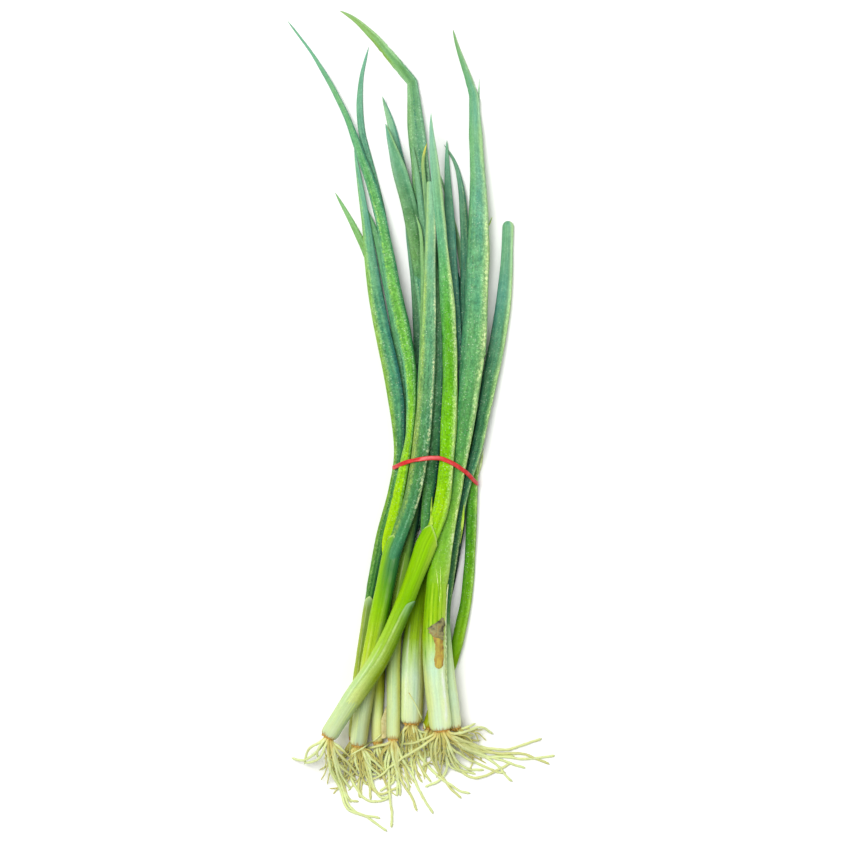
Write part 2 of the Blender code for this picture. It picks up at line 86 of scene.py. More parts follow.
def eased(rows, reach):
    """Rows with their corners rounded and the two ends kept."""
    reach = min(reach, len(rows) - 2)
    weight = np.hanning(2 * reach + 3)[1:-1]
    padded = np.vstack([2 * rows[:1] - rows[reach:0:-1], rows, 2 * rows[-1:] - rows[-2:-reach - 2:-1]])
    return np.column_stack([np.convolve(column, weight / weight.sum(), "valid") for column in padded.T])


def cut_across(points, edges, at, ahead):
    """Where the plane through a point, square to the way ahead, crosses the edges of a solid."""
    side = (points - at) @ ahead
    near, far = side[edges[:, 0]], side[edges[:, 1]]
    crossed = (near < 0) != (far < 0)
    share = (near[crossed] / (near[crossed] - far[crossed]))[:, None]
    return points[edges[crossed, 0]] * (1 - share) + points[edges[crossed, 1]] * share


def rows_through(node, square_start, square_end):
    """The middle, half width and half height of a tube-shaped solid, from its root end to its tip."""
    slices, run_on, full = 3 * MM, 9 * MM, 0.94
    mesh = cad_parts[node].data
    points = np.array([corner.co for corner in mesh.vertices])
    edges = np.array([edge.vertices for edge in mesh.edges])
    middles = []
    for along in np.arange(points[:, 1].min() + slices, points[:, 1].max() - 0.4 * MM, slices):
        ring = cut_across(points, edges, np.array([0, along, 0]), np.array([0, 1, 0]))
        middles.append((ring.min(axis=0) + ring.max(axis=0)) / 2)
    middles = np.array(middles)
    ends = middles[[0, -1]] + unit(middles[[0, -1]] - middles[[2, -3]]) * run_on
    walk = eased(evenly(np.vstack([ends[:1], middles, ends[1:]]), ROW_STEP), 4)
    rows = []
    for at, ahead in zip(walk, unit(np.gradient(walk, axis=0))):
        across, up = sideways(ahead)
        ring = cut_across(points, edges, at, ahead) - at
        if len(ring) < 4:
            continue
        x, z = ring @ across, ring @ up
        middle = at + across * (x.min() + x.max()) / 2 + up * (z.min() + z.max()) / 2
        rows.append((*middle, (x.max() - x.min()) / 2, (z.max() - z.min()) / 2))
    rows = np.array(rows)
    # A plane near a square end cuts through its cap, so those rows give way to a straight run on.
    for square, way in ((square_start, 1), (square_end, -1)):
        if not square:
            continue
        rows = rows[::way]
        while rows[0, 3] < full * rows[2, 3] or rows[0, 4] < full * rows[2, 4]:
            rows = rows[1:]
        ahead = unit(rows[0, :3] - rows[3, :3])
        reach = ((points - rows[0, :3]) @ ahead).max()
        end = np.concatenate([rows[0, :3] + ahead * reach, rows[0, 3:]])
        rows = np.vstack([end, rows] if reach > 0.5 * MM else [rows])[::way]
    return rows


def run_along(rows):
    """A run through rows that each hold a middle, a half width and a half height."""
    middle = rows[:, :3]
    across, up = sideways(unit(np.gradient(middle, axis=0)))
    return np.column_stack([walked(middle), middle, across, up, rows[:, 3:]])


def on_tube(run, along, turn, proud=0.0):
    """Points round a run. Turn 0 is under it, a quarter is its right side and a half its top."""
    along, turn = np.broadcast_arrays(along, turn)
    here = np.stack([np.interp(along, run[:, GONE], column) for column in run.T], axis=-1)
    wide, high = here[..., WIDE], here[..., HIGH]
    x, z = np.cos((turn - 0.25) * FULL_TURN), np.sin((turn - 0.25) * FULL_TURN)
    size = np.hypot(x * high, z * wide)
    return (here[..., MIDDLE] + here[..., ACROSS] * (x * (wide + proud * high / size))[..., None]
            + here[..., UP] * (z * (high + proud * wide / size))[..., None])


def put(name, mesh, skin):
    """A smooth mesh with its skin, placed in the scene."""
    mesh.shade_smooth()
    mesh.materials.append(skin)
    made = bpy.data.objects.new(name, mesh)
    bpy.context.scene.collection.objects.link(made)
    return made


def closed_skin(name, rings, share, skin):
    """A closed tube over rings of points. Its UV map holds the turn round it and the share along it."""
    count, sides = rings.shape[:2]
    corners = np.vstack([rings.reshape(-1, 3), rings[0].mean(axis=0), rings[-1].mean(axis=0)])
    corners[:, 2] = np.maximum(corners[:, 2], 0.03 * MM)
    here = np.arange(count * sides).reshape(count, sides)
    beside = np.roll(here, -1, axis=1)
    quads = np.stack([here[:-1], here[1:], beside[1:], beside[:-1]], axis=-1).reshape(-1, 4)
    fans = [(count * sides, a, b) for a, b in zip(here[0], beside[0])]
    fans += [(count * sides + 1, b, a) for a, b in zip(here[-1], beside[-1])]
    mesh = bpy.data.meshes.new(name)
    mesh.from_pydata(corners.tolist(), [], quads.tolist() + fans)
    left = np.arange(sides) / sides
    right = left + 1 / sides
    low, high = [np.broadcast_to(part[:, None], (count - 1, sides)) for part in (share[:-1], share[1:])]
    around = np.stack(np.broadcast_arrays(left + 0 * low, left, right, right), axis=-1)
    walls = np.stack([around, np.stack([low, high, high, low], axis=-1)], axis=-1).reshape(-1, 2)
    caps = []
    for place, corner in ((share[0], (left, left, right)), (share[-1], (left, right, left))):
        caps.append(np.column_stack([np.stack(corner, axis=-1).ravel(), np.full(3 * sides, place)]))
    mesh.uv_layers.new(name="skin").data.foreach_set("uv", np.vstack([walls, *caps]).ravel())
    return put(name, mesh, skin)


def wander(seed, along, longest):
    """A slow drift between -1 and 1 along a run, the same each time for the same seed."""
    chance = np.random.default_rng(seed)
    waves = [np.sin(FULL_TURN * (along * n / longest + chance.uniform())) / n for n in (1, 1.7, 2.9, 4.3)]
    return sum(waves) / 1.7


def linear(colour):
    """An sRGB hex colour as the linear values that a shader takes."""
    parts = [int(colour[i:i + 2], 16) / 255 for i in (1, 3, 5)]
    return (*[part / 12.92 if part <= 0.04045 else ((part + 0.055) / 1.055) ** 2.4 for part in parts], 1)


def fill(tree, node, inputs):
    """Gives each socket its value or its link, which comes from a socket or from a node's first output."""
    for name, value in inputs.items():
        if isinstance(value, bpy.types.Node):
            value = value.outputs[0]
        if isinstance(value, bpy.types.NodeSocket):
            tree.links.new(value, node.inputs[name])
        else:
            node.inputs[name].default_value = value


def add(tree, kind, inputs=None, stops=(), **settings):
    """Adds one node with its settings, its colour at each place of a ramp and what its sockets take."""
    node = tree.nodes.new("ShaderNode" + kind)
    for name, value in settings.items():
        setattr(node, name, value)
    fill(tree, node, inputs or {})
    for i, (place, colour) in enumerate(dict(stops).items()):
        stop = node.color_ramp.elements[i] if i < 2 else node.color_ramp.elements.new(place)
        stop.position, stop.color = place, linear(colour)
    return node


def new_material(name):
    made = bpy.data.materials.new(name)
    made.use_nodes = True
    return made, made.node_tree, made.node_tree.nodes["Principled BSDF"]


# The fine patterns in a waxy skin: how many times each repeats across and along it in a mm, how far it
# is moved, its detail and its roughness.
skin_patterns = (
    ((0.12, 0.025, 1), 0, 2, 0.5),  # patches 8 mm wide and 40 mm long, a little yellower or bluer
    ((1.5, 0.75, 1), 0, 3, 0.7),    # wax grains, 0.2 mm in life and drawn 0.7 mm wide so that they show
    ((1.15, 0.02, 1), 0, 3, 0.62),  # veins, 0.4 mm apart in life and drawn 0.9 mm apart
    ((1.2, 0.75, 1), 3, 1, 0.5),    # specks that break up the stripes along the ridges, the painted highlights among them
    ((0.4, 0.13, 1), 0, 4, 0.65),   # blotches of dull bloom, 2 to 8 mm long
)


def living_skin(name, length, girth, tones, seed, stripes=(), vein=0.17, grain=0.33, bloom=0.2, glints=0.65,
                gloss=(0.3, 0.46), root_stain=0.0, rim=0.0, keep=0.87, own=()):
    """The waxy skin of a leaf or stem. It has one tone down its middle and one along each side, the side
    tones partly its own colour and partly painted light and shade, fine veins from end to end, a granular
    grain of wax with painted glints on beads of dew, a patchy dull bloom, and pale stripes, painted
    highlights, along the ridges where it was pressed. Its gloss is weak and takes the green of the wax."""
    made, tree, shader = new_material(name)
    place = add(tree, "UVMap", uv_map="skin")
    apart = add(tree, "SeparateXYZ", {"Vector": place})
    turn, share = apart.outputs["X"], apart.outputs["Y"]
    colour, left, right = [add(tree, "ValToRGB", {"Fac": share}, stops) for stops in tones]
    for side, near, far in ((left, 0.52, 0.66), (right, 0.48, 0.34)):
        mask = add(tree, "MapRange", {"Value": turn, "From Min": near, "From Max": far},
                   interpolation_type="SMOOTHSTEP")
        colour = add(tree, "MixRGB", {"Fac": mask, "Color1": colour, "Color2": side})
    in_mm = add(tree, "VectorMath", {0: place, 1: (girth / MM, length / MM, 1), 2: (seed, seed, seed)},
                operation="MULTIPLY_ADD")
    made_patterns = []
    for per_mm, moved, detail, rough in skin_patterns:
        spot = add(tree, "VectorMath", {0: in_mm, 1: per_mm, 2: (0, 0, moved)}, operation="MULTIPLY_ADD")
        made_patterns.append(add(tree, "TexNoise", {"Vector": spot, "Scale": 1.0, "Detail": detail,
                                                    "Roughness": rough}))
    patch, grains, veins, specks, dull = made_patterns
    drift = add(tree, "ValToRGB", {"Fac": patch}, {0.35: "#EEF8F8", 0.65: "#FFFBDC"})
    colour = add(tree, "MixRGB", {"Fac": 1.0, "Color1": colour, "Color2": drift}, blend_type="MULTIPLY")
    specks = add(tree, "MapRange", {"Value": specks, "From Min": 0.43, "From Max": 0.58,
                                    "To Min": 1 - 2.4 * grain})
    ridged = 0.0
    # Each stripe runs along the skin. Its edge is ragged with the grains, and it is broken up by the specks
    # and by patchy noise. The pale stripes are painted highlights on the crests of the ridges, and the dark
    # ones are darker lines.
    for turn_from, turn_to, wide, tone, strength, *reach in stripes:
        begin, end = reach or (0.0, 1.0)
        line = add(tree, "Math", {0: share, 1: turn_to - turn_from, 2: turn_from}, operation="MULTIPLY_ADD")
        away = add(tree, "Math", {0: turn, 1: line}, operation="SUBTRACT")
        away = add(tree, "Math", {0: away}, operation="ABSOLUTE")
        rough_edge = add(tree, "Math", {0: grains, 1: 18 * grain * wide, 2: (1.1 - 9 * grain) * wide},
                         operation="MULTIPLY_ADD")
        mask = add(tree, "MapRange", {"Value": away, "From Min": rough_edge, "From Max": 0.0,
                                      "To Max": strength}, interpolation_type="SMOOTHSTEP")
        spot = add(tree, "VectorMath", {0: in_mm, 1: (0.3, 0.11, 1), 2: (9 * turn_from, 0, wide)},
                   operation="MULTIPLY_ADD")
        stripe_patchiness = add(tree, "TexNoise", {"Vector": spot, "Scale": 1.0, "Detail": 2.0})
        stripe_patchiness = add(tree, "MapRange", {"Value": stripe_patchiness, "From Min": 0.34, "From Max": 0.58, "To Min": 0.3})
        fades = [add(tree, "MapRange", {"Value": share, "From Min": low, "From Max": high})
                 for low, high in ((begin, begin + 0.1), (end + 0.02, end - 0.08))]
        for part in (stripe_patchiness, specks, *fades):
            mask = add(tree, "Math", {0: mask, 1: part}, operation="MULTIPLY")
        colour = add(tree, "MixRGB", {"Fac": mask, "Color1": colour, "Color2": linear(tone)})
        ridged = add(tree, "Math", {0: mask, 1: ridged}, operation="ADD")
    # Wax is thickest from a fifth to two thirds of the way along.
    coat = add(tree, "MapRange", {"Value": share, "From Max": 0.22, "To Min": 0.2})
    thin = add(tree, "MapRange", {"Value": share, "From Min": 0.62, "From Max": 0.85, "To Min": 1.0,
                                  "To Max": 0.4})
    coat = add(tree, "Math", {0: coat, 1: thin}, operation="MULTIPLY")
    # Veins and grains lighten and darken the tone by a share of it, the veins more towards the tip.
    plain = add(tree, "MapRange", {"Value": share, "From Max": 0.7, "To Min": 0.4})
    light = 1.0
    for pattern, low, high, most, where in ((veins, 0.3, 0.7, vein, plain),
                                            (grains, 0.35, 0.65, grain, coat)):
        swing = add(tree, "MapRange", {"Value": pattern, "From Min": low, "From Max": high, "To Min": -most,
                                       "To Max": most})
        swing = add(tree, "Math", {0: swing, 1: where, 2: 1.0}, operation="MULTIPLY_ADD")
        light = add(tree, "Math", {0: light, 1: swing}, operation="MULTIPLY")
    colour = add(tree, "VectorMath", {0: colour, 1: light}, operation="MULTIPLY")
    # The blotches are bluer where the wax is thin and yellower where it is thick.
    mottled = add(tree, "MapRange", {"Value": dull, "From Min": 0.34, "From Max": 0.66})
    mottled = add(tree, "MixRGB", {"Fac": mottled,
                                   "Color1": (1 - 0.9 * grain, 1 - 0.55 * grain, 1 - 0.25 * grain, 1),
                                   "Color2": (1 + 0.7 * grain, 1 + 0.45 * grain, 1 + 0.2 * grain, 1)})
    colour = add(tree, "MixRGB", {"Fac": coat, "Color1": colour, "Color2": mottled}, blend_type="MULTIPLY")
    most = add(tree, "MapRange", {"Value": share, "From Min": 0.25, "From Max": 0.7, "To Max": 1.2 * bloom})
    wax = add(tree, "MapRange", {"Value": dull, "From Min": 0.45, "From Max": 0.72, "To Max": most})
    # Painted glints on beads of dew, 0.5 mm across, as pale specks. They stand closest where the wax is dull.
    cells = add(tree, "TexVoronoi", {"Vector": in_mm, "Scale": 1.35}, feature="F1")
    glint_bead = add(tree, "MapRange", {"Value": cells, "From Min": 0.42, "From Max": 0.2})
    chosen = add(tree, "SeparateColor", {"Color": cells.outputs["Color"]})
    for likelier, by in ((dull, 0.9), (ridged, 0.45)):
        chosen = add(tree, "Math", {0: likelier, 1: by, 2: chosen}, operation="MULTIPLY_ADD")
    dew_glint = add(tree, "MapRange", {"Value": chosen, "From Min": 1.12, "From Max": 1.55, "To Max": glints})
    for part in (glint_bead, coat):
        dew_glint = add(tree, "Math", {0: dew_glint, 1: part}, operation="MULTIPLY")
    covers = [(wax, "#93C7A4"), (dew_glint, "#DFF4D6")]
    if rim:
        # The thin edge of the sheath's mouth, pale because it is only a skin thick there.
        covers.append((add(tree, "MapRange", {"Value": share, "From Min": 1 - rim / length, "From Max": 1.0,
                                              "To Max": 0.7}), "#CBE58A"))
    if root_stain:
        # The skin is bruised brown where it was cut and where soil clung to it.
        ragged = add(tree, "Math", {0: veins, 1: 9 * MM / length, 2: -3.8 * MM / length},
                     operation="MULTIPLY_ADD")
        reach = add(tree, "Math", {0: share, 1: ragged}, operation="ADD")
        covers.append((add(tree, "MapRange", {"Value": reach, "From Min": 2.4 * MM / length,
                                              "From Max": 0.6 * MM / length, "To Max": root_stain},
                           interpolation_type="SMOOTHSTEP"), "#B07A2C"))
    for mask, tone in covers:
        colour = add(tree, "MixRGB", {"Fac": mask, "Color1": colour, "Color2": linear(tone)})
    deep = add(tree, "VectorMath", {0: colour, 1: (keep, keep, keep)}, operation="MULTIPLY")
    rough = add(tree, "MapRange", {"Value": dull, "From Min": 0.3, "From Max": 0.75, "To Min": gloss[0],
                                   "To Max": gloss[1]})
    raised = add(tree, "Math", {0: grains, 1: 0.5, 2: veins}, operation="MULTIPLY_ADD")
    raised = add(tree, "Math", {0: dew_glint, 1: 0.8, 2: raised}, operation="MULTIPLY_ADD")
    bump = add(tree, "Bump", {"Height": raised, "Strength": 0.7, "Distance": 0.2 * MM})
    fill(tree, shader, {"Base Color": deep, "Roughness": rough, "Normal": bump, "IOR": 1.42,
                        "Specular IOR Level": 0.15, "Specular Tint": (0.85, 1.0, 0.35, 1), **dict(own)})
    return made


# The mouth of each stem: the turn at which its lip reaches highest, how far up in mm, and the turns
# between which it stands open. Elsewhere the outermost leaf runs on from the sheath without a break.
mouths = {1: (0.575, 10, 0.2, 0.8), 2: (0.6, 6, 0.56, 0.85), 3: (0.5, 6, 0.1, 0.9)}
# How each stem greens from the root end up: its middle, its left side and its right side. The sides
# are partly its own colour and partly painted light and shade: the left side of stem 2 and the right side
# of stem 1 are painted lighter to make up for the shade that falls on them.
stem_tones = {
    1: ({0: "#CDDDBC", 0.25: "#BFD28C", 0.45: "#9FC648", 0.7: "#84BE08", 1: "#8CC410"},
        {0: "#D8EABC", 0.25: "#D0E8A6", 0.45: "#AFD850", 0.7: "#94C80C", 1: "#80BE0A"},
        {0: "#BACCA0", 0.25: "#A6BC62", 0.45: "#93AE38", 0.7: "#7EB414", 1: "#A4CC48"}),
    2: ({0: "#C2CCA4", 0.25: "#C2CF9C", 0.45: "#B4D03C", 0.68: "#88BE10", 0.8: "#5F9C28", 0.88: "#3F8048",
         1: "#4A8F62"},
        {0: "#EAECB0", 0.25: "#E2EA9E", 0.45: "#B6D63A", 0.7: "#9CCF12", 1: "#7FB82A"},
        {0: "#B4AF6C", 0.25: "#A3A861", 0.5: "#6F9A1C", 0.7: "#3F8410", 0.85: "#2F7036", 1: "#2F6F4C"}),
    3: ({0: "#D3D89A", 0.3: "#AFB440", 0.6: "#84982A", 0.93: "#7F9C4C", 1: "#A9C494"},
        {0: "#C9CE8C", 0.5: "#AFC04C", 0.93: "#A4BC5A", 1: "#BCD69A"},
        {0: "#A9A04C", 0.5: "#8F9A34", 1: "#8FAE5A"}),
    4: ({0: "#DDDF9A", 0.12: "#DFEAA4", 0.24: "#C4CE4C", 0.36: "#A9B414", 1: "#86A224"},
        {0: "#DCD98A", 0.12: "#E6EFB0", 0.26: "#CDD65A", 0.4: "#B0BA1A", 1: "#8FAC2C"},
        {0: "#D3C670", 0.12: "#D3D480", 0.24: "#B4BC30", 0.36: "#9CA610", 1: "#769224"}),
    5: ({0: "#D8E8BC", 0.2: "#CBE2B8", 0.36: "#B6D29C", 0.6: "#93B440", 1: "#6FA03C"},
        {0: "#DDE4A6", 0.2: "#D0DFA0", 0.36: "#BCCF70", 0.6: "#9CB93C", 1: "#6FA03C"},
        {0: "#CBCB80", 0.3: "#B9C06A", 0.6: "#7E9A24", 1: "#4F8434"}),
    6: ({0: "#D6E6C9", 0.28: "#CFE0C4", 0.4: "#BAD694", 0.52: "#A4CC2C", 0.72: "#8CBC10", 1: "#74A810"},
        {0: "#DAEEC0", 0.28: "#E0F4C9", 0.4: "#C9E296", 0.55: "#AFD624", 0.75: "#98C814", 1: "#84B814"},
        {0: "#CDBE74", 0.28: "#C2BF6E", 0.45: "#A9B41C", 0.7: "#7FA010", 1: "#6F9A1C"}),
    7: ({0: "#DCEFD6", 0.4: "#D6EEC9", 0.56: "#C2E08C", 0.72: "#9ECB20", 1: "#8AC01A"},
        {0: "#DDE8A6", 0.4: "#D3E39A", 0.6: "#A9CF1C", 0.78: "#98C80E", 1: "#7FBA1A"},
        {0: "#E2F6D0", 0.4: "#DDF2B9", 0.6: "#C6DF8C", 0.78: "#B9D84C", 1: "#A4CF4C"}),
    8: ({0: "#E6EFC6", 0.3: "#DFEEC4", 0.6: "#D3E8A9", 1: "#6C9C54"},
        {0: "#DCE6B0", 0.3: "#D6E4B0", 0.6: "#C6DC92", 1: "#5F8F4C"},
        {0: "#E9F5D0", 0.3: "#E4F4C8", 0.6: "#D6ECB0", 1: "#7AAC64"}),
    9: ({0: "#A9B21C", 0.5: "#8FAE14", 1: "#6FA810"},) * 3,
}
# Pale and dark streaks that run up each stem, the palest ones painted highlights and the darker ones its
# veins: their turns at its foot and its collar, width, tone and strength, and the shares of it at which they
# begin and end where they don't run all the way.
stem_highlights_and_veins = {
    1: [(0.6, 0.58, 0.025, "#E4F4B4", 0.5, 0, 0.5), (0.4, 0.42, 0.02, "#C9E06C", 0.5, 0, 0.6),
        (0.53, 0.51, 0.012, "#78AC08", 0.6, 0.4, 1),
        (0.57, 0.6, 0.012, "#78AC08", 0.6, 0.45, 1), (0.45, 0.43, 0.014, "#6FA008", 0.6, 0.4, 1)],
    2: [(0.57, 0.6, 0.03, "#DDE88C", 0.5, 0, 0.6), (0.42, 0.45, 0.05, "#9CAC8C", 0.25),
        (0.52, 0.55, 0.012, "#6F9A10", 0.6, 0.3, 0.9)],
    6: [(0.6, 0.58, 0.03, "#EEF9DC", 0.7, 0, 0.6), (0.47, 0.49, 0.04, "#A9C49C", 0.5, 0, 0.5),
        (0.38, 0.4, 0.03, "#E0E8A6", 0.5, 0, 0.6), (0.53, 0.52, 0.012, "#6F9810", 0.7, 0.35, 1),
        (0.46, 0.44, 0.012, "#6F9810", 0.7, 0.4, 1), (0.6, 0.6, 0.014, "#7CA818", 0.6, 0.4, 1)],
    7: [(0.4, 0.34, 0.05, "#F4FDEC", 1.0, 0, 0.45), (0.5, 0.5, 0.03, "#BFD8A8", 0.4, 0, 0.5),
        (0.55, 0.6, 0.022, "#5F9A06", 0.9, 0.5, 1), (0.5, 0.535, 0.02, "#6AA40A", 0.9, 0.5, 1),
        (0.44, 0.47, 0.018, "#6FA80A", 0.9, 0.5, 1), (0.62, 0.66, 0.024, "#5A9408", 0.8, 0.4, 1),
        (0.38, 0.41, 0.018, "#74AC12", 0.9, 0.5, 1), (0.525, 0.565, 0.016, "#B9DE3C", 0.7, 0.5, 1),
        (0.41, 0.435, 0.014, "#BCE04C", 0.7, 0.5, 1)],
}
plain_highlight = [(0.55, 0.55, 0.03, "#DDE8A6", 0.5)]  # the pale streak of every other stem, a painted highlight
closed_mouth = (0.5, 0, 2, 2)  # no lip, and open at no turn


def opened(turn, open_from, open_to):
    """1 at the turns where a mouth stands open, and 0 where the sheath runs on."""
    return smooth((turn - open_from) / 0.04 + 0.5) * smooth((open_to - turn) / 0.04 + 0.5)


# How much wider than its solid a stem is at its mouth. Two leaves stretch the first.
flares = {1: 0.17, 3: -0.16}
stem_sides = 72
# The first rings of points stand close together round the shoulder. The others are 1.2 mm apart.
first_rings = [0, 0.15, 0.4, 0.8, 1.3, 1.9, 2.6]
# Over how many mm the shoulder rounds in and the foot is frayed, how far below the collar the lip and the
# seam begin, and how far the skin turns in over the leaves at the mouth.
shoulder_run, frayed_run, lip_run, seam_run, mouth_depth = 4.4, 2.5, 22, 18, 6
# The cells of a sheath are full of water, so light goes a little way in and it looks milky and wet.
wet_sheath = {"Specular IOR Level": 0.1, "Specular Tint": (0.85, 1.0, 0.15, 1), "Subsurface Weight": 0.15,
              "Subsurface Radius": (1.2, 1.6, 0.5), "Subsurface Scale": 1.0 * MM}
runs, collar_at = {}, {}
for number in stem_tones:
    stem_rows = evenly(rows_through(f"shallot_{number}_stem", True, True), ROW_STEP)
    blunt_leaf = number in (2, 8)
    leaf_rows = rows_through(f"shallot_{number}_leaf_a", True, blunt_leaf)
    run = run_along(eased(evenly(np.vstack([stem_rows, leaf_rows]), ROW_STEP), 5))
    collar = ROW_STEP * (len(stem_rows) - 1)
    runs[number], collar_at[number] = run, collar
    flare = flares.get(number, 0) * np.exp(-((run[:, GONE] - collar) / (20 * MM)) ** 2)
    sheath = run.copy()
    sheath[:, WIDE] *= 1 + flare
    sheath[:, MIDDLE] -= sheath[:, ACROSS] * (0.4 * flare * run[:, WIDE])[:, None]
    apex, reach, *gap = mouths.get(number, closed_mouth)
    turn = np.arange(stem_sides) / stem_sides
    lip = MM * reach * np.clip(1 - np.abs(turn - apex) / 0.27, 0, 1) ** (0.5 if number == 3 else 1.0)
    is_open = opened(turn, *gap)
    down = np.arange(3.6 * MM, collar - 0.2 * MM, 1.2 * MM)
    down = np.concatenate([np.array(first_rings) * MM, down, [collar]])
    along = down[:, None] + lip * smooth((down[:, None] - collar + lip_run * MM) / (lip_run * MM))
    wide = np.interp(down, sheath[:, GONE], sheath[:, WIDE])[:, None]
    shoulder = -0.3 * wide * (1 - np.sqrt(1 - (1 - np.clip(along / (shoulder_run * MM), 0, 1)) ** 2))
    frayed = 0.18 * MM * np.clip(1 - along / (frayed_run * MM), 0, 1)
    frayed = frayed * np.sin(FULL_TURN * (turn * 11 + 0.2 * np.sin(turn * 40)))
    ribs = 0.055 * MM * np.cos(FULL_TURN * (turn * 21 + 0.35 * wander(number, along, 0.09)))
    dents = 0.2 * MM * wander(number + 40, along, 0.05) * np.cos(2 * FULL_TURN * turn + number)
    near_collar = smooth((down[:, None] - collar + seam_run * MM) / (seam_run * MM))
    seam = near_collar * (0.16 * MM * is_open - 0.55 * MM * (1 - is_open))
    outer = on_tube(sheath, along, turn, shoulder + frayed + ribs + dents + 0.1 * MM + seam)
    rim_at = along[-1] + 0.15 * MM
    edge = on_tube(sheath, rim_at, turn, seam[-1] - 0.08 * MM)
    inner_at = rim_at - np.linspace(0.3, mouth_depth, 5)[:, None] * MM
    inner = on_tube(sheath, inner_at, turn, seam[-1] - 0.22 * MM)
    rings = np.concatenate([outer, edge[None], inner])
    share = np.concatenate([down / collar, np.ones(1 + len(inner))])
    girth = math.pi * (run[:40, WIDE] + run[:40, HIGH]).mean()
    skin = living_skin(f"wet onion-white sheath {number}", collar, girth, stem_tones[number], number * 7.3,
                       stem_highlights_and_veins.get(number, plain_highlight), vein=0.15, grain=0.05, bloom=0.0, glints=0.1,
                       gloss=(0.2, 0.34), root_stain=0.6, rim=1.6 * MM if reach else 0, keep=0.9,
                       own=wet_sheath)
    stem = closed_skin(f"stem_{number}", rings, share, skin)
    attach(stem, "root")
    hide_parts(f"shallot_{number}_stem")


# ---- Leaves --------------------------------------------------------------------------------------
# Each leaf is a hollow tube, pressed flat in the bunch and drawn out to a thin tip. Its skin is thin and
# waxy, with fine veins from end to end. Folds run along it where it was pressed.

lime, sea, mist = "#8CC80A", "#7EBC9E", "#A4D3B8"
# deep and dark are partly the leaves' own dark teal and partly painted shade, for sides and leaves in shade.
deep, dark, olive, pale = "#265540", "#173E30", "#7F9A48", "#C4DE9C"
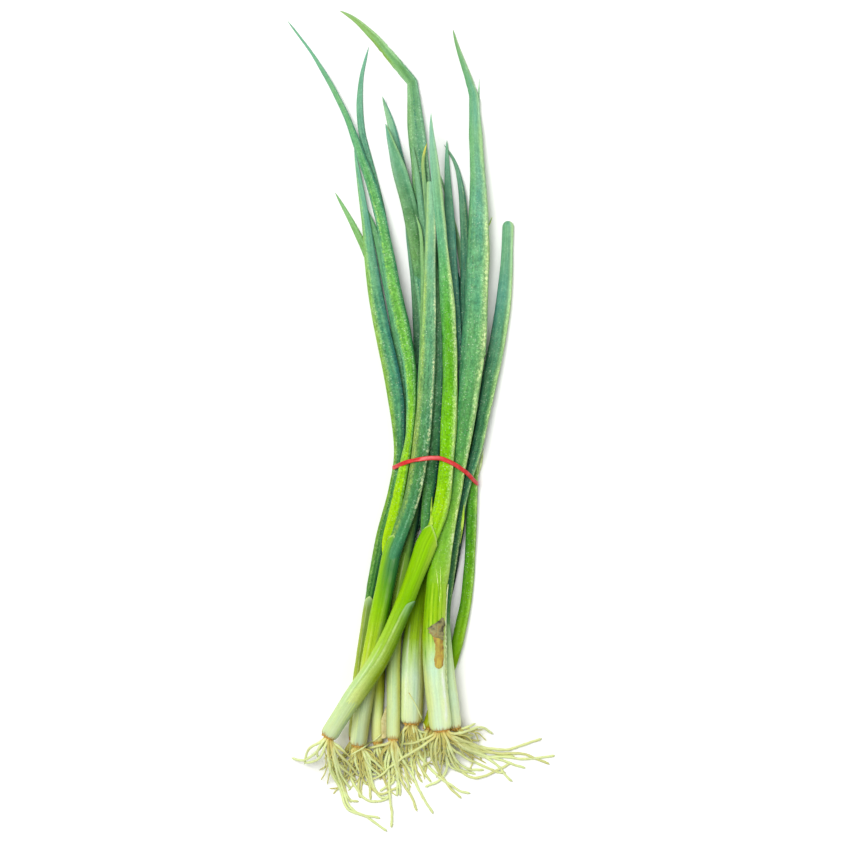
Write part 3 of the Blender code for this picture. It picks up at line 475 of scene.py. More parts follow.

# For each leaf: tones down its middle, its left side and its right side, each from the collar to the
# tip; then stripes along its pressed ridges, as for a stem, the pale ones painted highlights. A leaf named a
# runs on from its stem's own tones. The dark teal of a shaded side, as on 3a and 5a, and of the leaves that
# lie under others, 5c, 7b and 8b, is painted shade over the leaf's own green.
leaf_tones = {
    "1a": ({0.05: lime, 0.12: "#98D000", 0.3: "#70BC06", 0.55: "#5CAE2C", 0.75: "#66AC8A", 1: "#9CCBAC"},
           {0.05: "#92CC14", 0.12: "#A4D80A", 0.3: "#74BE0E", 0.5: "#52A63C", 0.75: "#6FB28C", 1: mist},
           {0.05: "#9CD02C", 0.3: "#98C85C", 0.6: "#A9D286", 1: mist},
           [(0.35, 0.36, 0.075, "#CFE49C", 1.0, 0.08, 0.8), (0.66, 0.6, 0.035, "#3E8F4A", 0.4)]),
    "1b": ({0: "#5FA63A", 0.25: "#3F7F56", 0.6: "#477C59", 0.9: "#7FAA74", 0.965: "#A9C070",
            0.985: "#F4E45A"},
           {0: "#7CBF3C", 0.25: "#4F9058", 0.6: "#6DA05C", 0.9: "#93B97C", 0.965: "#B9CC74",
            0.985: "#F4E45A"},
           {0: "#2F6F4C", 0.25: "#1F5347", 0.7: deep, 0.96: "#6FA06A", 1: "#E8DC5A"},
           [(0.55, 0.55, 0.05, "#7FB28C", 0.5)]),
    "2a": ({0.08: "#4A8F62", 0.3: "#4A8648", 0.6: "#66A880", 1: "#8FC4A6"},
           {0.04: "#7CAF3C", 0.1: "#5E8F50", 0.3: "#93AE5C", 0.6: "#8CB96C", 1: "#9CC690"},
           {0.08: "#2F6F48", 0.3: "#3F7F50", 0.7: "#74B08C", 1: "#A0C99A"},
           [(0.35, 0.34, 0.06, "#DDE8B0", 1.0, 0.1, 0.95), (0.6, 0.62, 0.05, "#A9C24E", 0.6),
            (0.45, 0.44, 0.03, "#8FC6A0", 0.4)]),
    "2b": ({0: "#A8D80C", 0.15: "#9CD200", 0.35: "#6FB43C", 0.7: "#5FA868", 1: sea},
           {0: "#B4E010", 0.15: "#A8DA20", 0.3: "#6FB078", 0.7: "#66AA80", 1: sea},
           {0: "#8CC414", 0.2: "#5F9E28", 0.4: "#3F8A50", 0.7: "#4F9A78", 1: sea},
           [(0.6, 0.58, 0.05, "#A4D838", 0.75, 0.08, 0.7), (0.4, 0.42, 0.04, "#9CCF8C", 0.6)]),
    "2c": ({0: "#7FB23C", 0.5: "#74B066", 1: "#93C486"},) * 3 + ([(0.45, 0.45, 0.04, pale, 0.3)],),
    "3a": ({0.05: "#4F8A40", 0.3: "#4F9058", 0.6: "#549A72", 1: sea},
           {0.05: "#5F9448", 0.3: "#7FAE3C", 0.6: "#93BC4C", 0.85: "#8CBE74", 1: sea},
           {0.05: "#245A40", 0.3: "#2A6654", 0.6: "#3F8478", 1: sea},
           [(0.58, 0.57, 0.05, "#A0CC66", 0.5)]),
    "3b": ({0: olive, 0.5: "#6FAE62", 1: "#8CC078"},) * 3 + ([(0.4, 0.45, 0.05, mist, 0.3)],),
    "3c": ({0: olive, 0.5: "#559A66", 1: "#66A97E"},) * 3 + ([(0.4, 0.45, 0.05, mist, 0.3)],),
    "4a": ({0.05: "#5E8C30", 0.3: "#3F7A50", 0.8: "#5F9C80", 1: sea},) * 3 + ([(0.4, 0.4, 0.05, mist, 0.4)],),
    "4b": ({0: "#2A5C40", 0.5: "#33705A", 1: "#74AC8C"},) * 3 + ([(0.45, 0.4, 0.05, mist, 0.3)],),
    "5a": ({0.05: "#5E8C42", 0.4: "#4F9060", 0.8: "#5A9A82", 1: "#93C4A4"},
           {0.05: "#6E9C4A", 0.4: "#6FAB6C", 0.8: "#79B08C", 1: mist},
           {0.05: dark, 0.4: "#1F4F42", 0.62: "#2A6458", 0.8: "#4A8A7C", 1: "#6FAA9C"},
           [(0.62, 0.62, 0.04, pale, 0.2)]),
    "5b": ({0: "#4E8440", 0.4: "#4F9060", 0.63: "#4F8E69", 0.7: "#578C56", 0.8: "#568C62", 0.95: "#5F9F7A",
            1: sea},
           {0: "#5E9444", 0.4: "#66A56C", 0.63: "#609E75", 0.7: "#6A9C66", 0.8: "#6A9C6E", 1: mist},
           {0: deep, 0.4: deep, 0.63: "#508A66", 0.7: "#3A6848", 0.79: "#44785A", 0.85: "#6FAE80",
            1: "#A4D39A"},
           [(0.3, 0.33, 0.05, "#B4DAA0", 0.6, 0.8, 1), (0.39, 0.4, 0.04, "#3F6F50", 0.6, 0.68, 0.84)]),
    "5c": ({0: "#24543C", 0.5: "#3F7F5C", 1: "#7FB592"},) * 3 + ([(0.45, 0.45, 0.04, mist, 0.3)],),
    "6a": ({0.05: "#5F982A", 0.13: "#2F683A", 0.22: "#1A463C", 0.33: "#123830", 0.5: "#3F7A5C",
            0.7: "#6FA98A", 0.86: "#6FA668", 0.88: "#74AE6E", 1: "#98BC70"},
           {0.05: "#6FA02A", 0.16: "#2F6438", 0.33: "#173F34", 0.5: "#5C9858", 0.7: "#74AA7A",
            0.86: "#8FC08C", 0.885: "#8CB452", 0.95: "#90B860", 1: "#A4C074"},
           {0.05: "#4F8A2A", 0.3: "#1C4A42", 0.5: "#4F8F70", 0.7: "#84BA98", 0.86: "#6FA880",
            0.885: "#A4D49C", 1: "#9CC68C"},
           [(0.53, 0.5, 0.055, "#3F7C64", 0.8, 0.55, 0.87), (0.36, 0.37, 0.03, "#B9DDB4", 0.6),
            (0.61, 0.6, 0.03, "#A4D49C", 0.6, 0.6, 0.87), (0.41, 0.41, 0.04, "#C4E8B4", 0.7, 0.86, 1)]),
    "6b": ({0: deep, 0.4: "#33705A", 0.8: "#3F7A66", 1: "#74A688"},) * 3 + ([(0.42, 0.42, 0.04, pale, 0.4)],),
    "7a": ({0.04: "#86BF34", 0.15: "#6FAE40", 0.3: "#569C58", 0.55: "#64A980", 0.75: "#76B69C",
            0.88: "#74B28C", 1: "#88B880"},
           {0.04: "#7FBA14", 0.15: "#559A3A", 0.35: "#3F8458", 0.6: "#5F9F74", 0.75: "#6FAE80",
            0.9: "#64A470", 1: "#79AE70"},
           {0.04: "#A4CF50", 0.15: "#8FC25C", 0.4: "#8CC080", 0.6: "#9CCB8C", 0.8: "#AFDCA6", 1: "#A4CE98"},
           [(0.34, 0.35, 0.065, "#DDECA9", 1.0, 0, 0.75), (0.47, 0.45, 0.03, "#A9DCB0", 0.6, 0.84, 1),
            (0.58, 0.56, 0.05, "#5F9A3C", 0.3)]),
    "7b": ({0: "#0C2826", 0.4: "#173F3C", 0.62: "#3F8074", 0.85: "#5F9F8C", 1: sea},) * 3
          + ([(0.4, 0.4, 0.04, pale, 0.3)],),
    "8a": ({0.03: "#4F9A78", 0.1: "#38785A", 0.3: "#2A6448", 0.55: "#3F7E5C", 0.8: "#5A9A84", 1: "#72B098"},
           {0.03: "#3F8A68", 0.1: "#2F6448", 0.3: "#275C44", 0.55: "#33705A", 0.8: "#4F8E7C", 1: "#6FAE94"},
           {0.05: "#4F8040", 0.3: "#639A60", 0.6: "#8CC080", 0.8: "#A9D69A", 1: "#B4DAA6"},
           [(0.34, 0.32, 0.055, "#D0E2A0", 0.9, 0.05, 0.9)]),
    "8b": ({0: "#102C2C", 0.5: "#17403C", 1: "#33685A"},) * 3 + ([(0.5, 0.5, 0.05, "#4F8F70", 0.4)],),
    "9a": ({0.05: "#74A80A", 0.25: "#549A1C", 0.5: "#4F9440", 0.6: "#2F6A50", 1: "#86B992"},
           {0.05: "#5F9410", 0.25: "#3F8424", 0.5: "#3F8440", 1: "#86B992"},
           {0.05: "#98C430", 0.25: "#84BA44", 0.5: "#8CC074", 1: mist},
           [(0.36, 0.37, 0.05, "#C4E096", 0.6)]),
}
# Where a leaf is bent sharply: the mm from its tip at which it starts to run straight, how far it then
# goes before the fold, and the mm from its tip at which the straight run beyond the fold ends.
bends = {"6a": (68, 6, 28), "7a": (50, 8.5, 30), "5b": (35, 8, 17)}
# How far in mm the upper half of a leaf is lifted over its neighbour, or pressed under it.
lifts = {"5b": 6.2, "5a": -5.4}
# Creases pressed across a leaf, as shares of it.
creases = {"2b": (0.13,), "3a": (0.34,), "6a": (0.862, 0.9), "1b": (0.62,), "7a": (0.895, 0.42), "1a": (0.5,),
           "8a": (0.55,)}


def grown_from_collar(number, rows, left):
    """The rows of a leaf, after those of the part wrapped inside the stem. It may lean out left there."""
    run, mouth = runs[number], collar_at[number]
    deep = mouth - 15 * MM
    start, ahead = rows[0, :3], unit(rows[2, :3] - rows[0, :3])
    inside = 0.15 * on_tube(run, deep, 0.0) + 0.85 * on_tube(run, deep, 0.5)
    inside += 0.12 * (start - on_tube(run, mouth, 0.25)) - left * MM * sideways(ahead)[0]
    first = unit(on_tube(run, mouth, 0.5) - on_tube(run, deep, 0.5))
    reach = np.linalg.norm(start - inside)
    t = np.linspace(0, 1, 10)[:-1, None]
    middle = ((2 * t**3 - 3 * t**2 + 1) * inside + (t**3 - 2 * t**2 + t) * first * reach
              + (3 * t**2 - 2 * t**3) * start + (t**3 - t**2) * ahead * reach)
    return np.vstack([np.column_stack([middle, rows[0, 3:] * (0.55 + 0.45 * t)]), rows])


def sharply_bent(rows, start, reach, stop):
    """Rows with one fold: straight on over the reach from the start, then straight to the stop."""
    gone = walked(rows[:, :3])
    first, last = [np.argmin(np.abs(gone[-1] - gone - place * MM)) for place in (start, stop)]
    a, b = rows[first, :3], rows[last, :3]
    corner = a + unit(a - rows[first - 2, :3]) * reach * MM
    corner[2] = a[2] + (b[2] - a[2]) * 0.3
    legs = np.linalg.norm(corner - a), np.linalg.norm(b - corner)
    rows = rows.copy()
    for i in range(first, last + 1):
        on = sum(legs) * (i - first) / (last - first)
        before, after = min(on / legs[0], 1), max((on - legs[0]) / legs[1], 0)
        rows[i, :3] = a + (corner - a) * before + (b - corner) * after
        rows[i, 4] *= 1 - 0.4 * max(1 - abs(on - legs[0]) / (7 * MM), 0)
    return rows


row_of_run = [1, 2, 3, WIDE, HIGH]
leaf_overlap = 12 * MM  # how far a leaf named a starts below its collar
tip_rings = [4, 3, 2.1, 1.4, 0.8, 0.4, 0.15, 0.05]  # mm from the tip
# How a leaf ends that has no thin tip: over how much of its half width it rounds in, and how far. The
# first was cut, and the second was nipped off young and healed round.
blunt_ends = {"2a": (0.5, 0.3), "8a": (1.1, 0.97)}
tubes = {}
for order, (name, (middle, left, right, ridges)) in enumerate(leaf_tones.items()):
    number, letter = int(name[0]), name[1]
    node = f"shallot_{number}_leaf_{letter}"
    if letter == "a":
        run, start = runs[number], collar_at[number] - leaf_overlap
        middle, left, right = [{0: stem[1], **leaf} for stem, leaf in
                               zip(stem_tones[number], (middle, left, right))]
    else:
        rows = grown_from_collar(number, rows_through(node, False, False), 5 * (name == "1b"))
        run, start = run_along(eased(evenly(rows, ROW_STEP), 4)), 0.0
    if name in bends:
        below, above = [run[part][:, row_of_run] for part in (run[:, GONE] < start, run[:, GONE] >= start)]
        run = run_along(np.vstack([below, sharply_bent(above, *bends[name])]))
    end = run[-1, GONE]
    length = end - start
    nine = np.linspace(start, end, 9)
    wide, high = [np.interp(nine, run[:, GONE], run[:, column]).mean() for column in (WIDE, HIGH)]
    sides = 64 if wide > 3 * MM else 44
    along = np.append(np.arange(start, end - 4 * MM, 1.6 * MM), end - MM * np.array(tip_rings))[:, None]
    turn = np.arange(sides) / sides
    here = np.interp(along, run[:, GONE], run[:, WIDE])
    pleats = 0.02 * here * np.cos(FULL_TURN * (turn * 9 + 0.4 * wander(order, along, 0.16)))
    press = 0.06 * here * wander(order + 50, along, 0.07) * np.cos(2 * FULL_TURN * turn + order)
    ridge_from, ridge_to = ridges[0][:2]
    ridge_at = ridge_from + (ridge_to - ridge_from) * (along - start) / length
    ridge = 0.05 * here * np.exp(-((turn - ridge_at) / 0.03) ** 2)
    fold_turn = ridge_at + 0.09 * (1 if ridge_from < 0.5 else -1) + 0.02 * wander(order + 90, along, 0.2)
    fold = -0.1 * here * np.exp(-((turn - fold_turn) / 0.035) ** 2)
    fold = fold * (0.6 + 0.4 * wander(order + 7, along, 0.11))
    proud = pleats + press + ridge + fold
    for crease in creases.get(name, ()):
        past = (along - start - length * crease - 0.4 * here * np.sin(FULL_TURN * (turn - 0.25))) / (0.9 * MM)
        proud = proud - 0.13 * here * np.exp(-past**2) + 0.05 * here * np.exp(-(past - 2) ** 2)
    if letter == "a":
        _, reach, *gap = mouths.get(number, closed_mouth)
        is_open = opened(turn, *gap)
        slant = 4.5 * np.cos(FULL_TURN * (turn - 0.27 * number))
        slant = slant + 1.2 * np.sin(FULL_TURN * (turn * 5 + number))
        risen = smooth((along - start + MM * slant) / (14 * MM)) * (1 - is_open) + is_open * smooth(
            (along - start - leaf_overlap - reach * MM) / (7 * MM))
        proud = proud * smooth((along - start - 8 * MM) / (12 * MM)) - 0.5 * MM * (1 - risen)
    if name in blunt_ends:
        reach, narrowed = blunt_ends[name]
        stations = np.unique(np.concatenate([run[:, GONE], along[:, 0]]))
        run = np.column_stack([np.interp(stations, run[:, GONE], column) for column in run.T])
        left_over = np.clip((end - stations) / (reach * here[-12]), 0, 1)
        run[:, WIDE:] *= 1 - narrowed * (1 - np.sqrt(1 - (1 - left_over[:, None]) ** 2))
        proud = proud * np.clip((end - along) / (2 * here[-12]), 0, 1)
    else:
        tip = np.clip((end - run[:, :1]) / (9 * MM), 0, 1)
        run = run.copy()
        run[:, WIDE:] *= 0.12 + 0.88 * np.sqrt(tip * (2 - tip))
    lifted = smooth((run[:, GONE] - start - 0.5 * length) / (0.2 * length))
    lifted = lifted * smooth((end - run[:, GONE]) / (8 * MM))
    run[:, 3] = np.maximum(run[:, 3] + lifts.get(name, 0) * MM * lifted, run[:, HIGH] + 0.1 * MM)
    tubes[name] = run
    girth = FULL_TURN * math.sqrt((wide**2 + high**2) / 2)
    skin = living_skin(f"waxy leaf skin {name}", length, girth, (middle, left, right), order * 3.7, ridges)
    leaf = closed_skin(f"leaf_{name}", on_tube(run, along, turn, proud), (along[:, 0] - start) / length, skin)
    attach(leaf, "root")
    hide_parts(node)


# ---- Roots ---------------------------------------------------------------------------------------
# Each shallot keeps its tuft of fleshy white roots, washed and limp. They spring from the rim of the
# corky basal plate and lie as they dried, crossing one another. Finer ones fill in between them.

def washed_skin(name, stops, rough, blotches, ends):
    """The skin of a root, cream with an ochre end and blotched where soil was. Light goes a little way into
    it, so it looks soft. The blotches are 4 mm across and the fine grain 0.7 mm."""
    made, tree, shader = new_material(name)
    place = add(tree, "SeparateXYZ", {"Vector": add(tree, "UVMap", uv_map="skin")})
    solid = add(tree, "TexCoord").outputs["Object"]
    blotch = add(tree, "TexNoise", {"Vector": solid, "Scale": 240.0, "Detail": 3.0})
    tone = add(tree, "ValToRGB", {"Fac": place.outputs["Y"]}, stops)
    some = add(tree, "MapRange", {"Value": add(tree, "NewGeometry").outputs["Random Per Island"],
                                  "From Min": 0.5, "From Max": 1.0, "To Max": 0.55})
    patch = add(tree, "MapRange", {"Value": blotch, "From Min": 0.52, "From Max": 0.7, "To Max": blotches})
    for mask, other in ((some, ends), (patch, "#A98A42")):
        tone = add(tree, "MixRGB", {"Fac": mask, "Color1": tone, "Color2": linear(other)})
    fine = add(tree, "TexNoise", {"Vector": solid, "Scale": 1400.0, "Detail": 2.0})
    bump = add(tree, "Bump", {"Height": fine, "Strength": 0.5, "Distance": 0.1 * MM})
    fill(tree, shader, {"Base Color": tone, "Normal": bump, "Roughness": rough, "IOR": 1.42,
                        "Specular IOR Level": 0.35, "Subsurface Weight": 0.2,
                        "Subsurface Radius": (1.0, 0.9, 0.4), "Subsurface Scale": 0.8 * MM})
    return made


# The thick roots of each shallot: how far right and back from its plate each one bends and ends, in mm.
thick_roots = {
    1: [[(-2, 2), (-8, 5), (-12, 8), (-13.5, 13), (-14.5, 17.5)], [(-1.5, 6), (-4, 12), (-9, 16), (-14, 17)],
        [(-3, 5), (-7, 10), (-12, 14), (-17, 15.5), (-22, 14)], [(-4, 4), (-7, 9), (-6, 13)],
        [(0.5, 3), (0, 10), (0.5, 16), (1.5, 22), (5, 29), (8, 34), (9, 40), (11, 45), (16, 47), (23, 49),
         (31, 50)],
        [(2, 4), (3, 11), (4.5, 19), (6.5, 26), (9, 34), (11, 41), (15.5, 46), (24, 50), (29, 53.5),
         (35, 58)], [(1, 4), (4, 11), (6, 17), (11, 22), (16.5, 27.5)],
        [(3, 4), (6, 10), (10.5, 15), (15, 20), (18, 25)], [(3, 5), (4, 13), (7, 22), (10, 28), (13, 33)],
        [(1.5, 5), (1, 14), (3, 23), (7, 29), (10, 35), (13, 40), (18, 40)],
        [(2, 4), (1.5, 12), (4.5, 20), (9, 29), (11, 37), (13.5, 41)], [(4.5, 4), (8, 8), (11, 11)]],
    2: [[(-3, 1), (-4.5, 8), (-4.5, 16), (-4, 22), (0.5, 29), (5, 33.5), (12, 34.5), (17, 33), (19, 30)],
        [(0.5, 2), (2, 10), (4.5, 19), (7, 24), (7.5, 33)], [(3, 2.5), (4.5, 8.5), (9, 15), (13.5, 19)],
        [(4.5, 3), (8, 8), (13, 13), (16.5, 17)], [(5, 4), (8, 12), (6, 16), (10, 19), (12, 18)],
        [(-2, 2), (-2, 9), (1, 16), (3, 22), (5, 24)], [(1.5, 3), (3, 10), (1.5, 17), (0, 22), (1, 32)],
        [(3, 4), (5, 14), (7.5, 24), (11, 29), (15, 30.5), (19, 27.5), (25, 25)],
        [(4, 5), (7, 15), (9, 25), (12, 31), (16, 32.5), (20, 30)]],
    3: [[(-1, 3), (-3, 8), (1, 12)], [(0, 3), (0, 10), (3, 16)], [(2, 3), (4, 8), (9, 11)]],
    4: [[(-1, 3), (0, 8), (5, 12), (7, 18)], [(1, 3), (3, 9), (2, 15)], [(2, 3), (5, 8), (10, 10)],
        [(0, 2), (-3, 7), (-2, 12), (-5, 15)]],
    5: [[(0, 2), (-2, 8), (-3, 17), (-2.5, 26), (-2, 35), (-1, 44), (-0.5, 52), (-1, 54)],
        [(1, 1.5), (2, 7), (2, 14), (3, 19), (4.5, 24), (7, 29.5), (11, 35), (14.5, 44)],
        [(1.5, 2), (4, 8.5), (5.5, 12.5), (9, 17.5), (12, 23.5), (15.5, 31), (18.5, 37), (24, 45.5)],
        [(-1, 2), (-0.5, 10), (2, 20), (4, 29), (4, 35)], [(-2, 2.5), (-4, 10), (-5, 17), (-3, 23)],
        [(2, 2), (3, 11), (2.5, 20), (3, 28), (2, 35)],
        [(0.5, 2), (0.5, 11), (-1, 20), (1, 26), (-3, 29), (-8, 32)],
        [(0, 1), (-5, 3.5), (-14, 6), (-22, 4)]],
    6: [[(-4, 3), (-6, 9), (-5, 16), (-7, 26), (-9, 35)],
        [(-2.5, 3), (-1, 8), (-3, 15), (-3.5, 23), (-3, 32), (-1, 41)], [(0, 3), (0.5, 11), (0, 23), (2, 32)],
        [(2, 3), (1.5, 8), (3, 13), (7, 14)], [(1, 2), (5, 5), (11, 6.5), (16, 7)],
        [(-1, 3), (-3, 10), (-0.5, 18), (2.5, 26), (4, 32), (7, 36)],
        [(3, 3), (5, 11), (3, 20), (7, 29), (12, 36)],
        [(3, 2), (4, 12), (5, 20), (11.5, 27.5), (18.5, 34), (26, 39), (30.5, 41.5), (35.5, 42.5)],
        [(-5, 3), (-4.5, 12), (-8, 20), (-6, 30)], [(4, 3), (7, 10), (9, 20), (7, 28)]],
    7: [[(6, 2.5), (12, 2), (17, 0.5), (20.5, -1), (24.5, -1), (27.5, 0.5), (29.5, 2.5), (31.5, 3.3)],
        [(4, 2.5), (9.5, 5.5), (15.5, 8), (22, 11.5), (29, 12), (35.5, 13), (41, 12.5), (47, 11), (53, 8.5),
         (60.5, 6)],
        [(5, 3), (12, 8), (19, 11.5), (27.5, 14.5), (36.5, 15), (47, 15), (53, 16), (57.5, 18.5), (65, 21.5)],
        [(5, 3.5), (11, 9), (20, 14), (27.5, 17), (38, 17), (45.5, 18), (53, 18.5), (60.5, 17.5),
         (68.4, 16.1)], [(3, 4), (8, 9), (17, 14), (26, 17), (35, 18.5), (41, 20.5), (47, 23), (50.5, 24)],
        [(2.5, 4), (6, 11), (14, 17), (23, 21.5), (29, 24.5), (35, 26.5), (39, 26.5)],
        [(2, 4), (4, 12.5), (8, 20), (12, 26), (18, 29.5), (23, 30), (29, 27.5), (35, 24.5), (42, 21)],
        [(4, 3.5), (11, 10), (18.5, 14), (24.5, 15.5), (29, 18.5), (33, 21.5), (36.5, 25), (39.5, 29),
         (43, 32)], [(3, 4), (6.5, 14), (11, 21.5), (15.5, 24.5), (26, 25)],
        [(-2.5, 3.5), (-7, 6.5), (-14.5, 12), (-24, 18), (-31, 23.5), (-37, 29), (-42, 31), (-45.5, 32.5)],
        [(-3.5, 2.5), (-10, 5.5), (-17.5, 8.5), (-23, 9.5)], [(-0.5, 4), (-0.5, 12.5), (-0.5, 21.5)],
        [(-2.5, 5), (-3.5, 12.5), (-3, 20.5), (0.5, 29.5)],
        [(0.5, 5), (2.5, 12.5), (4, 20.5), (3, 26), (0.5, 30.5), (-2.5, 32.5), (-7, 34), (-9.5, 35)],
        [(-3, 4), (-6, 9), (-6, 16), (-3, 23), (0.5, 29.5), (6, 36), (12, 42)],
        [(2, 5), (4, 11.5), (6, 18.5), (9.5, 24.5), (17, 26.5), (21, 27.5)],
        [(2, 5), (3, 15), (5, 23), (11, 26), (18, 26)],
        [(5, 3), (13, 6), (21, 10), (29, 14), (36, 16), (44, 16.5)], [(4, 3), (10, 7.5), (18, 12), (27, 16)]],
    8: [[(4, 1), (9, -1), (12.5, -3), (15, -5.5), (16, -8)], [(3, 2), (7, 5), (10, 6), (10.5, 4)],
        [(2, 3), (6, 8), (12, 11), (19, 12)]],
    9: [[(0, 3), (1, 10), (0, 18)], [(2, 3), (4, 11), (3, 20)], [(-1, 3), (-3, 10), (-2, 16)]],
}
# How many finer roots each has besides, and the way they lean, in degrees from straight back.
fine_roots = {1: (13, 12, 24), 2: (24, 14, 34), 3: (8, 0, 40), 4: (12, 10, 36), 5: (22, 0, 26),
              6: (38, 4, 22), 7: (26, 30, 44), 8: (6, 50, 30), 9: (9, 0, 40)}
root_look = washed_skin("washed root", {0: "#B98A3C", 0.04: "#D3C674", 0.2: "#DEE9A6", 1: "#D2DE9C"},
                        0.5, 0.2, "#BFB864")
# The fine roots are darker and more ochre than the thick ones. This is partly their own colour and partly
# painted shade for the shade among the thick roots.
fine_look = washed_skin("fine washed root", {0: "#B08A3C", 0.08: "#C4BC64", 1: "#CDD08A"}, 0.55, 0.35,
                        "#AFA050")
plate_look = washed_skin("corky basal plate", {0: "#C08A3A", 0.5: "#C99C48", 1: "#D3BE70"}, 0.75, 0.4,
                         "#A9742C")

# The sides of a root and of its plate, how far in mm a root goes from its plate before it lies on what is
# below, how far it strays from its plan, and how high the long ones lie that cross the other tufts.
root_sides, plate_sides, springing, straying, crossing = 9, 40, 14, 0.25, 9


def laid_root(base, plan, thick, tip, level, chance):
    """Rings along one root that springs from the plate, sags on to the roots below and runs to its tip."""
    plan = evenly(np.column_stack([plan, 0 * plan[:, 0]]), 1.1 * MM)[:, :2]
    plan = eased(plan, min(4, len(plan) - 2))
    gone = walked(plan)
    share = gone / gone[-1]
    seeds = chance.integers(1 << 30, size=4)
    astray = np.column_stack([wander(seeds[0], gone, 0.019), wander(seeds[1], gone, 0.017)])
    plan = plan + straying * MM * smooth(share * 4)[:, None] * astray
    half = (thick + (tip - thick) * share) / 2 * (1 + 0.1 * wander(seeds[2], gone, 0.008))
    fall = smooth(gone / (springing * MM + base[2]))
    rest = level * (1 - share) + 0.4 * MM * (1 + wander(seeds[3], gone, 0.02)) * (1 - share**3)
    height = half + (base[2] - half) * (1 - fall) + rest * fall
    half = half * np.sqrt(1 - np.clip((gone - gone[-1] + 0.8 * MM) / (0.82 * MM), 0, 1) ** 2)
    run = run_along(np.column_stack([plan, np.maximum(height, half + 0.05 * MM), half, half]))
    return on_tube(run, run[:, :1], np.arange(root_sides) / root_sides), share


def joined(name, parts, look):
    """Several closed tubes as one piece."""
    made = [closed_skin(f"{name}_{i}", rings, share, look) for i, (rings, share) in enumerate(parts)]
    with bpy.context.temp_override(active_object=made[0], selected_editable_objects=made):
        bpy.ops.object.join()
    made[0].name = made[0].data.name = name
    return made[0]


# The dome of a plate: how far back its rings stand in mm, and their size as a share of the stem's.
dome_size = ([-2.0, 0.0, 0.8, 1.5, 1.9], [0.6, 0.64, 0.56, 0.36, 0.1])
flap_shape = np.array([1, 1.05, 0.9, 0.6, 0.3, 0.05])
old_flaps = 16
for number, thick_plans in thick_roots.items():
    chance = np.random.default_rng(number)
    run = runs[number]
    base, back = run[0, MIDDLE], -unit(run[2, MIDDLE] - run[0, MIDDLE])
    across, up, wide, high = run[0, ACROSS], run[0, UP], run[0, WIDE], run[0, HIGH]
    # Each plan ends with how thick the root is at its plate and tip, and how high others hold it, in mm.
    plans = [(np.array(plan, float) * (1, -1) * MM, 1.8 * MM, 1.4 * MM, 1.5) for plan in thick_plans]
    count, lean, spread = fine_roots[number]
    for _ in range(count):
        angle = math.radians(lean + spread * chance.uniform(-1, 1))
        bend = math.radians(chance.uniform(-95, 95))
        length = chance.uniform(10, 36) * MM
        steps = np.linspace(0.12, 1, 6)
        heading = angle + bend * (steps - 0.3) + 0.35 * np.sin(steps * 6 + angle * 9)
        step = np.column_stack([np.sin(heading), -np.cos(heading)]) * length / 6
        plans.append((np.cumsum(step, axis=0), chance.uniform(0.9, 1.35) * MM, 0.8 * MM, 4.0))
    laid = []
    for plan, thick, tip, mat in plans:
        away = unit(plan[min(1, len(plan) - 1)])
        side = away @ across[:2]
        lift = chance.uniform(-0.7, 0.7) * math.sqrt(1 - 0.6 * side**2)
        spring = base + back * 0.4 * MM + across * wide * 0.55 * side + up * high * 0.6 * lift
        spring[2] = max(spring[2], 0.9 * MM)
        plan = np.vstack([[0, 0], plan[plan @ -back[:2] < 2.5 * MM] if len(plan) > 2 else plan])
        line = np.vstack([spring[:2], spring[:2] + back[:2] * 1.6 * MM + away * MM, base[:2] + plan[1:]])
        level = chance.uniform(0, mat) * MM
        if number == 7 and plan[-1, 0] < -20 * MM:
            level = crossing * MM
        laid.append(laid_root(spring, line, thick, tip, level, chance))
    for name, part, look in (("roots", laid[:len(thick_plans)], root_look),
                             ("fine_roots", laid[len(thick_plans):], fine_look)):
        piece = joined(f"{name}_{number}", part, look)
        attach(piece, "root")
        if look is root_look:
            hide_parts(f"shallot_{number}_roots")
    # The plate itself, a low dome with the ragged ends of old sheaths round it.
    turn = np.arange(plate_sides) / plate_sides
    gone = np.linspace(dome_size[0][0], dome_size[0][-1], 12)[:, None]
    knobs = 1 + 0.07 * np.cos(FULL_TURN * (turn * 7 + 0.3 * gone)) + 0.05 * np.cos(FULL_TURN * turn * 13)
    size = np.interp(gone, *dome_size) * knobs
    x, z = np.cos((turn - 0.25) * FULL_TURN) * size, np.sin((turn - 0.25) * FULL_TURN) * size
    dome = base + back * gone[..., None] * MM + across * (x * wide)[..., None] + up * (z * high)[..., None]
    parts = [(dome[::-1], np.linspace(0, 1, 12))]
    for _ in range(old_flaps):
        place = chance.uniform(0, FULL_TURN)
        root = base + (across * wide * math.cos(place) + up * high * math.sin(place)) * 0.66 - back * 0.4 * MM
        out = unit(back + (across * math.cos(place) + up * math.sin(place)) * chance.uniform(-0.1, 0.35))
        middle = root + out * np.linspace(0, chance.uniform(0.8, 2.6), 6)[:, None] * MM
        middle[:, 2] = np.maximum(middle[:, 2], 0.5 * MM)
        widths = chance.uniform(0.35, 0.8) * MM * flap_shape
        flap = run_along(np.column_stack([middle, widths, 0.3 * widths + 0.02 * MM]))
        parts.append((on_tube(flap, flap[:, :1], np.arange(8) / 8), np.linspace(0, 1, 6)))
    plate = joined(f"basal_plate_{number}", parts, plate_look)
    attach(plate, "root")


# ---- Torn sheath and dry skin --------------------------------------------------------------------
# The oldest leaf of two stems has withered. On one its green stub still wraps half the stem, and on the
# other a brown papery patch and a crinkled pale strip of it are left.

